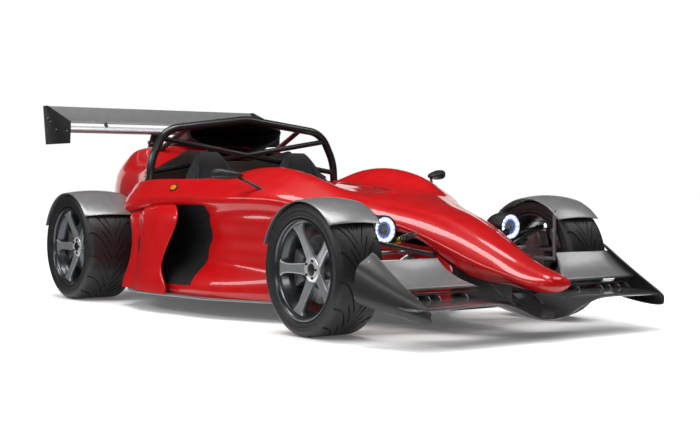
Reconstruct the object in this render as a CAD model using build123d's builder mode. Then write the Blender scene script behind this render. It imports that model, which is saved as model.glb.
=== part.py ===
from build123d import *
import os
from math import cos, radians, sin

os.makedirs("parts", exist_ok=True)

# Open wheel two-seat racing car: +X forward, +Y to the car's left, +Z up, standing on z = 0.
# The origin lies on the ground under the middle of the car's length. Millimetres.

# Driving dimensions
wheelbase = 2520
front_overhang = 840        # front axle to nose tip
rear_overhang = 565         # rear axle to the tail of the rear wing
front_half_track = 858      # centre plane to the outer rim lip
rear_half_track = 875
front_tyre_radius = 314
rear_tyre_radius = 323
rim_lip_radius = 241
front_rim_width = 246
rear_rim_width = 300
ride_height = 98            # ground to the undertray's lower face
tray_thickness = 12
wing_top = 1219             # top of the rear wing
wing_half_span = 790
front_wing_half_span = 740
panel_wall = 14
tub_wall = 25
tub_half_width = 600        # at the seats
footbox_half_width = 250    # between the front wheels

# Clearances
seat_gap = 0.3              # between pieces that are fastened to each other
running_gap = 0.05          # radial, shaft in bore
clear_gap = 6               # between pieces that move past each other

# Places that follow from the driving dimensions
length = wheelbase + front_overhang + rear_overhang
front_axle_x = length / 2 - front_overhang
rear_axle_x = front_axle_x - wheelbase
tray_top = ride_height + tray_thickness


def from_front(distance):
    return front_axle_x + distance


def from_rear(distance):
    return rear_axle_x + distance


# Half widths: measured out from the tub's side beside the seats, or from the rear tyres' inner rim lips
def beside_tub(distance):
    return tub_half_width + distance


def beside_rear_wheel(distance):
    return rear_half_track - rear_rim_width + distance


def save(builder, name):
    builder.part.label = name
    export_step(builder.part, f"parts/{name}.step")


# A round bar from one point to another, in the part in hand
def rod(start, end, radius, mode=Mode.ADD):
    span = Vector(*end) - Vector(*start)
    with Locations(Plane(origin=start, z_dir=span)):
        Cylinder(radius, span.length, align=(Align.CENTER, Align.CENTER, Align.MIN), mode=mode)


# A closed section with rounded corners
def rounded(plane, corners, radius):
    with BuildSketch(plane) as profile:
        with BuildLine():
            FilletPolyline(*corners, radius=radius, close=True)
        make_face()
    return profile.sketch


# A section across the car: flat foot, bulged sides and an arched top
def hull_section(x, low, side, edge, ridge, foot_radius=12, edge_radius=40):
    (low_y, low_z), (side_y, side_z), (edge_y, edge_z) = low, side, edge
    with BuildSketch(Plane.YZ.offset(x)) as profile:
        with BuildLine():
            Line((-low_y, low_z), (low_y, low_z))
            ThreePointArc((low_y, low_z), (side_y, side_z), (edge_y, edge_z))
            ThreePointArc((edge_y, edge_z), (0, ridge), (-edge_y, edge_z))
            ThreePointArc((-edge_y, edge_z), (-side_y, side_z), (-low_y, low_z))
        make_face()
        fillet(profile.vertices().sort_by(Axis.Y)[:2], foot_radius)
        fillet(profile.vertices().sort_by(Axis.Y)[-2:], edge_radius)
    return profile.sketch


# Nose and scuttle skin: one row for each station along the car
# x, (half width, z) of the foot, of the bulge and of the top edge, then z of the ridge, and edge rounding
nose_rows = [
    (from_front(-310), (395, 470), (425, 545), (290, 635), 662, 40),
    (from_front(-80), (262, 482), (300, 525), (180, 585), 608, 30),
    (from_front(150), (222, 415), (240, 455), (125, 528), 550, 25),
    (from_front(290), (186, 335), (212, 400), (105, 478), 498, 22),
    (from_front(370), (150, 275), (190, 365), (92, 442), 462, 20),
    (from_front(590), (92, 248), (140, 305), (66, 346), 362, 16),
    (from_front(730), (70, 237), (110, 268), (52, 290), 302, 10),
    (from_front(805), (44, 236), (74, 254), (36, 266), 273, 5),
    (from_front(front_overhang), (20, 242), (34, 254), (16, 261), 264, 3),
]
scuttle_rows = [
    nose_rows[0],
    (from_front(-660), (beside_tub(-80), 470), (beside_tub(-62), 600), (beside_tub(-240), 688), 700, 40),
    (from_front(-1010), (beside_tub(-6), 470), (beside_tub(0), 620), (beside_tub(-140), 728), 718, 40),
    (from_front(-1270), (beside_tub(-6), 470), (beside_tub(0), 620), (beside_tub(-120), 737), 716, 40),
]
# Twin humps ahead of the seats: x, half width, rise above the foot line, z of the crest
hump_y = beside_tub(-250)
hump_rows = [
    (from_front(-250), 70, 50, 608),
    (from_front(-460), 135, 100, 708),
    (from_front(-700), 180, 140, 782),
    (from_front(-960), 200, 170, 815),
    (from_front(-1160), 200, 165, 802),
    (from_front(-1290), 190, 120, 748),
]


def skin(rows, inset=0, drop=0):
    return [
        hull_section(
            x, (low[0] - inset, low[1] - drop), (side[0] - inset, side[1]),
            (edge[0] - inset * 0.7, edge[1] - inset), ridge - inset, edge_radius=rounding
        )
        for x, low, side, edge, ridge, rounding in rows
    ]


def hump_sections(y, inset=0):
    sections = []
    for x, half, rise, crest in hump_rows:
        foot = crest - rise
        with BuildSketch(Plane.YZ.offset(x)) as profile:
            with BuildLine():
                Line((y - half + inset, foot), (y + half - inset, foot))
                ThreePointArc((y + half - inset, foot), (y, crest - inset), (y - half + inset, foot))
            make_face()
        sections.append(profile.sketch)
    return sections


with BuildPart() as nose_form:
    loft(skin(nose_rows), ruled=True)

with BuildPart() as scuttle_form:
    loft(skin(scuttle_rows), ruled=True)

# Nose: a shell, open towards the footbox; its belly ahead of the footbox is closed
with BuildPart() as nose:
    add(nose_form.part)
    loft(skin(nose_rows[:4], panel_wall, 40), ruled=True, mode=Mode.SUBTRACT)
save(nose, "nose")

with BuildPart() as scuttle:
    add(scuttle_form.part)
    for side in (-1, 1):
        loft(hump_sections(side * hump_y), ruled=True)
    loft(skin(scuttle_rows, panel_wall, 40), ruled=True, mode=Mode.SUBTRACT)
    for side in (-1, 1):
        loft(hump_sections(side * hump_y, panel_wall), ruled=True, mode=Mode.SUBTRACT)
    add(nose_form.part, mode=Mode.SUBTRACT)
save(scuttle, "scuttle")

# Undertray: plan outline of the floor, right half then left half
tray_rows = [
    (from_front(-300), beside_tub(-270)),
    (from_front(-660), beside_tub(50)),
    (from_front(-1010), beside_tub(195)),
    (from_front(-1310), beside_tub(225)),
    (from_rear(890), beside_tub(262)),
    (from_rear(650), beside_tub(200)),
    (from_rear(330), beside_rear_wheel(-15)),
    (from_rear(160), beside_rear_wheel(-55)),
]


def plan_outline(rows):
    return [(x, half) for x, half in rows] + [(x, -half) for x, half in reversed(rows)]


with BuildPart() as undertray:
    with BuildSketch(Plane.XY.offset(ride_height)):
        with BuildLine():
            FilletPolyline(*plan_outline(tray_rows), radius=30, close=True)
        make_face()
    extrude(amount=tray_thickness)
save(undertray, "undertray")

# Tub: cockpit and footbox walls, with the firewall behind the seats
firewall_x = from_rear(580)
firewall_thickness = 25
airbox_sill = tub_half_width * 2 / 15
tub_top = 450
footbox_slope = [(-310, tub_top), (150, 408), (300, 318)]   # its top edge: ahead of the axle, z
steering_arm = 110          # ahead of the kingpin
rack_x = from_front(steering_arm)
rack_radius = 9
tie_eye_height = 24
steering_arm_top = 60       # above the hub axis
rack_z = front_tyre_radius + steering_arm_top + seat_gap + tie_eye_height / 2
tub_rows = [
    (firewall_x, tub_half_width),
    (from_front(-960), tub_half_width),
    (from_front(-310), 360),
    (from_front(-190), footbox_half_width),
    (from_front(300), footbox_half_width - 55),
]
tub_inner_rows = [
    (firewall_x + firewall_thickness, tub_half_width - tub_wall),
    (from_front(-960), tub_half_width - tub_wall),
    (from_front(-310), 360 - tub_wall),
    (from_front(-190), footbox_half_width - tub_wall),
    (from_front(300) - tub_wall, footbox_half_width - 55 - tub_wall),
]
with BuildPart() as tub:
    with BuildSketch(Plane.XY.offset(tray_top)):
        Polygon(*plan_outline(tub_rows), align=None)
    extrude(amount=tub_top - tray_top)
    with BuildSketch(Plane.XY.offset(tray_top + tub_wall)):
        Polygon(*plan_outline(tub_inner_rows), align=None)
    extrude(amount=wing_top, mode=Mode.SUBTRACT)
    with BuildSketch(Plane.XZ):
        Polygon(
            *[(from_front(distance), z) for distance, z in footbox_slope],
            (from_front(300), tub_top), align=None
        )
    extrude(amount=tub_half_width, both=True, mode=Mode.SUBTRACT)
    with BuildSketch(Plane.YZ.offset(firewall_x)):
        Polygon(
            (-tub_half_width, tub_top), (tub_half_width, tub_top), (tub_half_width, 740),
            (beside_tub(55), 752),
            (beside_tub(-238), 917), (airbox_sill, 852), (-airbox_sill, 852),
            (-beside_tub(-238), 917), (-beside_tub(55), 752),
            (-tub_half_width, 740), align=None
        )
    extrude(amount=firewall_thickness)
    rod(
        (rack_x, -tub_half_width, rack_z), (rack_x, tub_half_width, rack_z),
        rack_radius + seat_gap, Mode.SUBTRACT
    )
save(tub, "tub")

# Side panels: sill, waist, shoulder and cockpit rim as (distance out from the tub's side, z)
panel_rows = [
    (from_front(-410), (-100, 200), (-130, 420), (-110, 590), (-160, 640)),
    (from_front(-660), (31, 190), (-15, 430), (5, 650), (-55, 700)),
    (from_front(-1010), (172, 165), (40, 420), (90, 680), (25, 730)),
    (from_front(-1360), (195, 160), (15, 400), (105, 672), (40, 735)),
    (from_rear(810), (185, 160), (12, 400), (100, 660), (40, 728)),
    (from_rear(560), (152, 160), (10, 420), (80, 630), (15, 705)),
    (from_rear(390), (70, 165), (-10, 430), (20, 585), (-28, 645)),
]
panel_depth = 300           # the panels' forms start this far inside the tub's side
panel_rounding = 18
bay_rows = [(from_rear(200), beside_tub(-55)), (firewall_x, tub_half_width)] + tub_rows[1:4]


def panel_sections(side):
    return [
        rounded(
            Plane.YZ.offset(x),
            [
                (side * beside_tub(out), z) for out, z in (
                    (-panel_depth, tray_top), (sill[0], tray_top), sill, waist, shoulder, rim,
                    (-panel_depth, rim[1])
                )
            ],
            panel_rounding,
        )
        for x, sill, waist, shoulder, rim in panel_rows
    ]


with BuildPart() as cockpit_space:
    with BuildSketch(Plane.XY.offset(ride_height)):
        Polygon(*plan_outline(bay_rows), align=None)
    extrude(amount=wing_top)

with BuildPart() as side_panel_right:
    loft(panel_sections(-1), ruled=True)
    add(cockpit_space.part, mode=Mode.SUBTRACT)
    add(scuttle_form.part, mode=Mode.SUBTRACT)
    add(scuttle.part, mode=Mode.SUBTRACT)
    add(tub.part, mode=Mode.SUBTRACT)
save(side_panel_right, "side_panel_right")

with BuildPart() as side_panel_left:
    mirror(side_panel_right.part, about=Plane.XZ)
save(side_panel_left, "side_panel_left")

# Intake fins: curved walls outside the flanks, with a swept leading edge.
# Rows of x, then the half width at the foot, the middle and the head
fin_thickness = 20
fin_top = 600
fin_middle = 380
fin_rows = [
    (from_front(-1290), beside_tub(200), beside_tub(185), beside_tub(140)),
    (from_rear(900), beside_tub(250), beside_tub(242), beside_tub(150)),
    (from_rear(710), beside_tub(226), beside_tub(212), beside_tub(138)),
    (from_rear(560), beside_tub(170), beside_tub(145), beside_tub(112)),
]


def fin_section(x, foot, middle, head):
    with BuildSketch(Plane.YZ.offset(x)) as profile:
        with BuildLine():
            ThreePointArc((-foot, tray_top), (-middle, fin_middle), (-head, fin_top))
            Line((-head, fin_top), (-head + fin_thickness, fin_top))
            ThreePointArc(
                (-head + fin_thickness, fin_top), (-middle + fin_thickness, fin_middle),
                (-foot + fin_thickness, tray_top)
            )
            Line((-foot + fin_thickness, tray_top), (-foot, tray_top))
        make_face()
    return profile.sketch


with BuildPart() as intake_fins:
    loft([fin_section(*row) for row in fin_rows], ruled=True)
    with BuildSketch(Plane.XZ.offset(tub_half_width)):
        with BuildLine():
            ThreePointArc(
                (from_front(-1285), fin_top + 10), (from_front(-1320), 450), (from_front(-1400), 320)
            )
            ThreePointArc(
                (from_front(-1400), 320), (from_front(-1450), 220), (from_front(-1385), tray_top - 10)
            )
            Polyline(
                (from_front(-1385), tray_top - 10), (from_front(-1100), tray_top - 10),
                (from_front(-1100), fin_top + 10), (from_front(-1285), fin_top + 10)
            )
        make_face()
    extrude(amount=2 * tub_half_width, mode=Mode.SUBTRACT)
    add(side_panel_right.part, mode=Mode.SUBTRACT)
    mirror(about=Plane.XZ)
save(intake_fins, "intake_fins")

# Radiators: a core on the undertray in each side duct, between the panel's waist and the fin
core_x = from_rear(820)
core_thickness = 60
core_top = 560
core_outline = [
    (192, tray_top), (192, 165), (20, 402), (80, core_top),
    (142, core_top), (203, fin_middle), (214, tray_top)
]
with BuildPart() as side_radiators:
    with BuildSketch(Plane.YZ.offset(core_x)):
        Polygon(*[(-beside_tub(out), z) for out, z in core_outline], align=None)
    extrude(amount=core_thickness / 2, both=True)
    mirror(about=Plane.XZ)
save(side_radiators, "side_radiators")

# Wheels: distances run inboard from the outer rim lip, radii from the hub axis
bead_radius = 228
sidewall_bulge = 9          # of the tyre past the rim lip
hub_radius = 78
hub_bore_radius = 30
hub_front = 58              # hub face behind the rim lip
hub_back = 88
spoke_count = 5
spoke_rows = [              # radius, width, thickness, front face behind the lip
    (50, 78, 30, hub_front),
    (125, 50, 26, 46),
    (222, 56, 28, 16),
]
disc_front = 110
disc_back = 138
disc_radius = 165
bell_radius = 95
front_hub = (front_axle_x, -front_half_track, front_tyre_radius)
rear_hub = (rear_axle_x, -rear_half_track, rear_tyre_radius)


def axle(hub):
    return Axis((hub[0], 0, hub[2]), (0, 1, 0))


# The plane of a revolved wheel profile: across the car, then out from the hub axis.
# A turn of 0 points up, 90 points forward.
def profile_plane(hub, turn=0):
    return Plane(origin=hub, x_dir=(0, 1, 0), z_dir=(cos(radians(turn)), 0, -sin(radians(turn))))


def make_rim(hub, width):
    with BuildPart() as rim:
        with BuildSketch(profile_plane(hub)):
            with BuildLine():
                Polyline(
                    (0, rim_lip_radius - 8), (0, rim_lip_radius), (9, rim_lip_radius), (13, bead_radius),
                    (width - 13, bead_radius), (width - 9, rim_lip_radius), (width, rim_lip_radius),
                    (width, rim_lip_radius - 8), (width - 18, bead_radius - 9), (75, bead_radius - 22),
                    (36, bead_radius - 22), (14, bead_radius - 7), close=True
                )
            make_face()
        revolve(axis=axle(hub))
        with BuildSketch(profile_plane(hub)):
            with BuildLine():
                Polyline(
                    (hub_front - 8, 0), (hub_front - 8, 26), (hub_front, 34), (hub_front, hub_radius - 8),
                    (hub_front + 8, hub_radius), (hub_back, hub_radius), (hub_back, hub_bore_radius),
                    (hub_front + 6, hub_bore_radius), (hub_front + 6, 0), close=True
                )
            make_face()
        revolve(axis=axle(hub))
        for spoke in range(spoke_count):
            turn = radians(90 + 360 / spoke_count * spoke)
            outward = Vector(cos(turn), 0, sin(turn))
            across = Vector(-sin(turn), 0, cos(turn))
            sections = []
            for radius, spoke_width, thickness, front in spoke_rows:
                middle = Vector(*hub) + outward * radius + Vector(0, front + thickness / 2, 0)
                with BuildSketch(Plane(origin=middle, x_dir=across, z_dir=outward)) as profile:
                    Rectangle(spoke_width, thickness)
                sections.append(profile.sketch)
            loft(sections, ruled=True)
        rod(
            (hub[0], hub[1] + hub_front + 6, hub[2]), (hub[0], hub[1] + hub_back, hub[2]),
            hub_bore_radius, Mode.SUBTRACT
        )
    return rim


def make_tyre(hub, width, radius):
    with BuildPart() as tyre:
        with BuildSketch(profile_plane(hub)) as profile:
            with BuildLine():
                Polyline(
                    (14, bead_radius + seat_gap), (10, rim_lip_radius + 2), (1, rim_lip_radius + 4),
                    (-sidewall_bulge, rim_lip_radius + 28), (-6, radius - 18),
                    (16, radius), (width - 16, radius),
                    (width + 6, radius - 18), (width + sidewall_bulge, rim_lip_radius + 28),
                    (width - 1, rim_lip_radius + 4),
                    (width - 10, rim_lip_radius + 2), (width - 14, bead_radius + seat_gap), close=True
                )
            make_face()
            fillet(profile.vertices().group_by(Axis.Y)[-1], 22)
        revolve(axis=axle(hub))
    return tyre


def make_disc(hub):
    with BuildPart() as disc:
        with BuildSketch(profile_plane(hub)):
            with BuildLine():
                Polyline(
                    (hub_back, hub_bore_radius), (hub_back, hub_radius), (disc_front, bell_radius),
                    (disc_front, disc_radius), (disc_back, disc_radius), (disc_back, bell_radius),
                    (disc_front + 8, bell_radius - 10), (hub_back + 12, hub_radius - 10),
                    (hub_back + 12, hub_bore_radius), close=True
                )
            make_face()
        revolve(axis=axle(hub))
    return disc


for corner, hub, width, radius in (
    ("front", front_hub, front_rim_width, front_tyre_radius),
    ("rear", rear_hub, rear_rim_width, rear_tyre_radius),
):
    pieces = {
        "rim": make_rim(hub, width),
        "tyre": make_tyre(hub, width, radius),
        "brake_disc": make_disc(hub),
    }
    for piece, right in pieces.items():
        save(right, f"{piece}_{corner}_right")
        with BuildPart() as left:
            mirror(right.part, about=Plane.XZ)
        save(left, f"{piece}_{corner}_left")

# Uprights: a spindle for the wheel, ball joint pins above and below, and the brake caliper
upright_front = 150         # behind the rim lip
upright_back = 205
kingpin = 178
bearing_radius = 62
joint_height = 122          # ball joint bosses above and below the hub axis
boss_radius = 26
pin_radius = 10
eye_height = 24
eye_radius = 22
eye_clear = 8               # between the boss and the eye
pin_length = eye_clear + eye_height + 6
caliper_mount = 140         # behind the hub axis
caliper_slot = 4            # free room beside the disc
caliper_inner = 118
caliper_outer = 192
caliper_arc = 56
arm_thickness = 16


def make_upright(hub, steered):
    hub_x, lip_y, hub_z = hub
    pin_y = lip_y + kingpin
    with BuildPart() as upright:
        back_face = Plane(origin=(hub_x, lip_y + upright_front, hub_z), x_dir=(-1, 0, 0), z_dir=(0, 1, 0))
        with BuildSketch(back_face):
            Circle(bearing_radius)
            with Locations((0, joint_height), (0, -joint_height), (caliper_mount, 0)):
                Circle(boss_radius)
            make_hull()
        extrude(amount=upright_back - upright_front)
        rod(
            (hub_x, lip_y + hub_front + 6 + seat_gap, hub_z), (hub_x, lip_y + upright_front, hub_z),
            hub_bore_radius - running_gap
        )
        for way in (-1, 1):
            tip = joint_height + boss_radius + pin_length
            rod((hub_x, pin_y, hub_z + way * joint_height), (hub_x, pin_y, hub_z + way * tip), pin_radius)
        with BuildSketch(profile_plane(hub, -90 - caliper_arc / 2)):
            with BuildLine():
                Polyline(
                    (disc_front - 24, caliper_inner), (disc_front - caliper_slot, caliper_inner),
                    (disc_front - caliper_slot, disc_radius + clear_gap),
                    (disc_back + caliper_slot, disc_radius + clear_gap),
                    (disc_back + caliper_slot, caliper_inner),
                    (upright_front + 2, caliper_inner), (upright_front + 2, caliper_outer),
                    (disc_front - 24, caliper_outer), close=True
                )
            make_face()
        revolve(axis=axle(hub), revolution_arc=caliper_arc)
        if steered:
            with BuildSketch(Plane.XY.offset(hub_z + steering_arm_top)):
                with Locations((hub_x, pin_y)):
                    Circle(24)
                with Locations((hub_x + steering_arm, pin_y)):
                    Circle(18)
                make_hull()
            extrude(amount=-arm_thickness)
    return upright


upright_front_right = make_upright(front_hub, True)
save(upright_front_right, "upright_front_right")
with BuildPart() as upright_front_left:
    mirror(upright_front_right.part, about=Plane.XZ)
save(upright_front_left, "upright_front_left")

with BuildPart() as uprights_rear:
    add(make_upright(rear_hub, False).part)
    mirror(about=Plane.XZ)
save(uprights_rear, "uprights_rear")

# Wishbones: an eye on each ball joint pin and two legs to the body
leg_radius = 11
leg_end_radius = 14
eye_lift = joint_height + boss_radius + eye_clear + eye_height / 2
gusset_y = 80               # inboard of the kingpin
gusset_size = 60
gusset_top = 20             # above the lower eye's middle


def footbox_half(distance):
    ahead = (distance + 190) / (300 + 190)
    return footbox_half_width - 55 * ahead


# One wishbone of the right side: the eye's place, then the inner ends of its legs
def wishbone(eye, ends, gusset=False):
    for end in ends:
        rod(eye, end, leg_radius)
        with Locations(end):
            Sphere(leg_end_radius)
    if gusset:
        with Locations((eye[0], eye[1] + gusset_y, eye[2] + gusset_top / 2)):
            Box(gusset_size, gusset_size, gusset_top)
    with Locations(eye):
        Cylinder(eye_radius, eye_height)
        Cylinder(pin_radius + running_gap, 2 * eye_height, mode=Mode.SUBTRACT)


front_pin_y = -front_half_track + kingpin
front_leg_ahead = 190
front_leg_behind = 150
front_upper_z = 372         # inner ends of the legs
front_lower_z = 172
with BuildPart() as front_wishbones:
    for way, inner_z in ((1, front_upper_z), (-1, front_lower_z)):
        ends = [
            (from_front(d), -footbox_half(d) - leg_end_radius - seat_gap, inner_z)
            for d in (-front_leg_behind, front_leg_ahead)
        ]
        wishbone((front_axle_x, front_pin_y, front_tyre_radius + way * eye_lift), ends, way < 0)
    mirror(about=Plane.XZ)
save(front_wishbones, "front_wishbones")

# Front pushrods: a foot on the lower wishbone's gusset and a rocker on the footbox wall
pushrod_radius = 9
pushrod_foot_z = front_tyre_radius - eye_lift + gusset_top + seat_gap
rocker_x = from_front(40)
with BuildPart() as front_pushrods:
    foot = (front_axle_x, front_pin_y + gusset_y, pushrod_foot_z + 10)
    with Locations(foot):
        Box(34, 34, 20)
    rod(foot, (rocker_x, -footbox_half(40) - 28, 362), pushrod_radius)
    with Locations((rocker_x, -footbox_half(40) - 10, 366)):
        Box(70, 50, 34)
    add(tub.part, mode=Mode.SUBTRACT)
    mirror(about=Plane.XZ)
save(front_pushrods, "front_pushrods")

# Steering rack with its tie rods, running in the footbox walls; each eye lies over a steering arm
tie_eye_radius = 16
with BuildPart() as steering_rack:
    rod((rack_x, front_pin_y, rack_z), (rack_x, -front_pin_y, rack_z), rack_radius)
    for side in (-1, 1):
        with Locations((rack_x, side * front_pin_y, rack_z)):
            Cylinder(tie_eye_radius, tie_eye_height)
save(steering_rack, "steering_rack")

# Fenders: crowned shells round the tyres, swung from a tail end to a nose end, on two stays each
fender_skin = 5
fender_crown = 24           # over the tread
fender_lip = 9
fender_overlap = 12         # outside the rim lip
stay_radius = 9
stay_reach = 200            # stays ahead of and behind the hub
stay_inset = 6              # between the tyre's inner wall and the stay
stay_head = 10              # the stay's top over the shell's lip
stay_root = 56              # the stay's foot on the upright, from the hub axis
stay_rise = 12


def make_fender(hub, width, radius, inner, tail_turn, nose_turn):
    with BuildPart() as fender:
        with BuildSketch(profile_plane(hub, tail_turn)):
            with BuildLine():
                outer = radius + fender_lip
                crown = radius + fender_crown
                ThreePointArc((-fender_overlap, outer), (width / 2, crown), (inner, outer))
                Line((inner, outer), (inner, outer - fender_skin))
                ThreePointArc(
                    (inner, outer - fender_skin), (width / 2, crown - fender_skin),
                    (-fender_overlap, outer - fender_skin)
                )
                Line((-fender_overlap, outer - fender_skin), (-fender_overlap, outer))
            make_face()
        revolve(axis=axle(hub), revolution_arc=nose_turn - tail_turn)
        stay_y = hub[1] + width + 9 + stay_inset + stay_radius
        for way in (-1, 1):
            stay_x = hub[0] + way * stay_reach
            lift = (radius ** 2 - stay_reach ** 2) ** 0.5 + fender_lip + stay_head
            elbow = (stay_x, stay_y, hub[2] + stay_rise)
            rod(elbow, (stay_x, stay_y, hub[2] + lift), stay_radius)
            with Locations(elbow):
                Sphere(stay_radius)
            foot = (hub[0] + way * stay_root, stay_y, hub[2] + stay_rise)
            rod(elbow, foot, stay_radius)
            with Locations(foot):
                Sphere(stay_radius)
            rod(foot, (foot[0], hub[1] + upright_back + seat_gap, foot[2]), stay_radius)
    return fender


front_fender_inner = front_rim_width + 36
rear_fender_inner = rear_rim_width + 36
fender_front_right = make_fender(front_hub, front_rim_width, front_tyre_radius, front_fender_inner, -70, 48)
save(fender_front_right, "fender_front_right")
with BuildPart() as fender_front_left:
    mirror(fender_front_right.part, about=Plane.XZ)
save(fender_front_left, "fender_front_left")

with BuildPart() as fenders_rear:
    add(make_fender(rear_hub, rear_rim_width, rear_tyre_radius, rear_fender_inner, -68, 54).part)
    mirror(about=Plane.XZ)
save(fenders_rear, "fenders_rear")

# Engine and gearbox: a plain block behind the firewall and a tapered case behind it
engine_back = from_rear(130)
engine_half_width = 235
head_half_width = 150
engine_top = 660
sump = tray_top + 20
gearbox_tail = from_rear(-440)
tail_half_width = 105
tail_front = from_rear(-240)
with BuildPart() as engine:
    with BuildSketch(Plane.YZ.offset(engine_back)):
        with BuildLine():
            FilletPolyline(
                (-engine_half_width, sump), (engine_half_width, sump), (engine_half_width, 500),
                (head_half_width, engine_top), (-head_half_width, engine_top), (-engine_half_width, 500),
                radius=25, close=True
            )
        make_face()
    extrude(amount=firewall_x - seat_gap - engine_back)
save(engine, "engine")

with BuildPart() as gearbox:
    with BuildSketch(Plane.YZ.offset(engine_back - seat_gap)):
        with Locations((0, 320)):
            RectangleRounded(360, 340, 40)
    with BuildSketch(Plane.YZ.offset(tail_front)):
        with Locations((0, 370)):
            RectangleRounded(2 * tail_half_width, 150, 20)
    loft()
    with BuildSketch(Plane.YZ.offset(tail_front)):
        with Locations((0, 370)):
            RectangleRounded(2 * tail_half_width, 150, 20)
    extrude(amount=gearbox_tail - tail_front)
save(gearbox, "gearbox")

# Rear suspension
rear_pin_y = -rear_half_track + kingpin
rear_leg_spread = 150
rear_upper_z = 420
rear_lower_z = 225
with BuildPart() as rear_wishbones:
    for way, inner_z in ((1, rear_upper_z), (-1, rear_lower_z)):
        ends = [(from_rear(d), -180, inner_z) for d in (-rear_leg_spread, 100)]
        wishbone((rear_axle_x, rear_pin_y, rear_tyre_radius + way * eye_lift), ends, way < 0)
    add(gearbox.part, mode=Mode.SUBTRACT)
    mirror(about=Plane.XZ)
save(rear_wishbones, "rear_wishbones")

driveshaft_radius = 16
with BuildPart() as driveshafts:
    shaft_y = -rear_half_track + upright_back + seat_gap
    rod((rear_axle_x, shaft_y, rear_tyre_radius), (rear_axle_x, -100, rear_tyre_radius), driveshaft_radius)
    for joint_y in (shaft_y, -230):
        rod((rear_axle_x, joint_y, rear_tyre_radius), (rear_axle_x, joint_y + 70, rear_tyre_radius), 42)
    add(gearbox.part, mode=Mode.SUBTRACT)
    mirror(about=Plane.XZ)
save(driveshafts, "driveshafts")

# Engine cover: a shell from the firewall to the tail; rows of x, foot, shoulder and ridge
cover_foot = 570
wing_underside = wing_top - 185
drawn_rise = 464            # of the wing's underside over the cover's foot, for the heights below


def under_wing(rise):
    return cover_foot + rise * (wing_underside - cover_foot) / drawn_rise


cover_rows = [
    (firewall_x - seat_gap, (beside_tub(50), 640), (beside_tub(48), 742), (beside_tub(-234), 905)),
] + [
    (from_rear(behind), (beside_rear_wheel(foot), foot_z), (beside_rear_wheel(shoulder), shoulder_z),
     (beside_rear_wheel(ridge), ridge_z))
    for behind, foot, foot_z, shoulder, shoulder_z, ridge, ridge_z in (
        (330, -35, 575, -35, 760, -207, 945),
        (-60, -75, under_wing(0), -90, under_wing(220), -235, under_wing(372)),
        (-260, -155, under_wing(30), -165, under_wing(200), -295, under_wing(318)),
        (-345, -190, under_wing(60), -200, under_wing(170), -325, under_wing(258)),
    )
]
cover_rounding = 40


def cover_sections(inset=0, drop=0):
    return [
        rounded(
            Plane.YZ.offset(x),
            [
                (foot[0] - inset, foot[1] - drop), (shoulder[0] - inset, shoulder[1]),
                (ridge[0] - inset, ridge[1] - inset), (inset - ridge[0], ridge[1] - inset),
                (inset - shoulder[0], shoulder[1]), (inset - foot[0], foot[1] - drop),
            ],
            cover_rounding,
        )
        for x, foot, shoulder, ridge in cover_rows
    ]


# Airbox: a duct with a wide mouth over the firewall, narrowing into the engine cover
airbox_wall = 8
airbox_rows = [
    (x, *[(tub_half_width * share, z) for share, z in row])
    for x, row in (
        (firewall_x - 30, ((17 / 120, 866), (0.53, 982), (169 / 300, 1045), (13 / 60, 1112))),
        (from_rear(100), ((7 / 60, 890), (0.375, 945), (47 / 120, 990), (1 / 6, 1030))),
        (from_rear(-110), ((0.1, 900), (4 / 15, 930), (4 / 15, 965), (7 / 60, 985))),
    )
]


def airbox_sections(rows, inset=0):
    sections = []
    for x, low, belly, cheek, top in rows:
        half = [
            (low[0], low[1] + inset), (belly[0] - inset, belly[1] + inset),
            (cheek[0] - inset, cheek[1] - inset), (top[0], top[1] - inset)
        ]
        corners = half + [(-y, z) for y, z in reversed(half)]
        sections.append(rounded(Plane.YZ.offset(x), corners, 14))
    return sections


with BuildPart() as airbox_form:
    loft(airbox_sections(airbox_rows), ruled=True)

with BuildPart() as airbox:
    add(airbox_form.part)
    loft(airbox_sections(airbox_rows[:2], airbox_wall), ruled=True, mode=Mode.SUBTRACT)
save(airbox, "airbox")

with BuildPart() as cover_form:
    loft(cover_sections(), ruled=True)

with BuildPart() as engine_cover:
    add(cover_form.part)
    loft(cover_sections(panel_wall, 120), ruled=True, mode=Mode.SUBTRACT)
    add(airbox_form.part, mode=Mode.SUBTRACT)
    add(side_panel_right.part, mode=Mode.SUBTRACT)
    add(side_panel_left.part, mode=Mode.SUBTRACT)
save(engine_cover, "engine_cover")

# Roll hoop: a bent tube over the seats with a crossed brace and two stays to the rear
hoop_x = from_rear(670)
hoop_radius = 24
brace_radius = 16
hoop_foot = 700
hoop_half = [(beside_tub(64), hoop_foot), (beside_tub(55), 850), (beside_tub(-38), 1032)]
hoop_points = [(-y, z) for y, z in hoop_half] + [(0, 1104)] + list(reversed(hoop_half))
hoop_bends = (300, 170, 300, 170, 300)
with BuildPart() as roll_hoop:
    with BuildLine(Plane.YZ.offset(hoop_x)) as hoop_line:
        FilletPolyline(*hoop_points, radius=hoop_bends)
    with BuildSketch(Plane(origin=hoop_line.line @ 0, z_dir=hoop_line.line % 0)):
        Circle(hoop_radius)
    sweep(path=hoop_line.line)
    for side in (-1, 1):
        rod((hoop_x, side * beside_tub(-10), 980), (hoop_x, -side * beside_tub(55), 782), brace_radius)
        stay_end = (from_rear(190), side * tub_half_width * 43 / 60, 858)
        rod((hoop_x, side * tub_half_width * 2 / 3, 1050), stay_end, brace_radius)
    for piece in (side_panel_right, side_panel_left, intake_fins, cover_form, tub, airbox_form):
        add(piece.part, mode=Mode.SUBTRACT)
save(roll_hoop, "roll_hoop")

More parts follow.
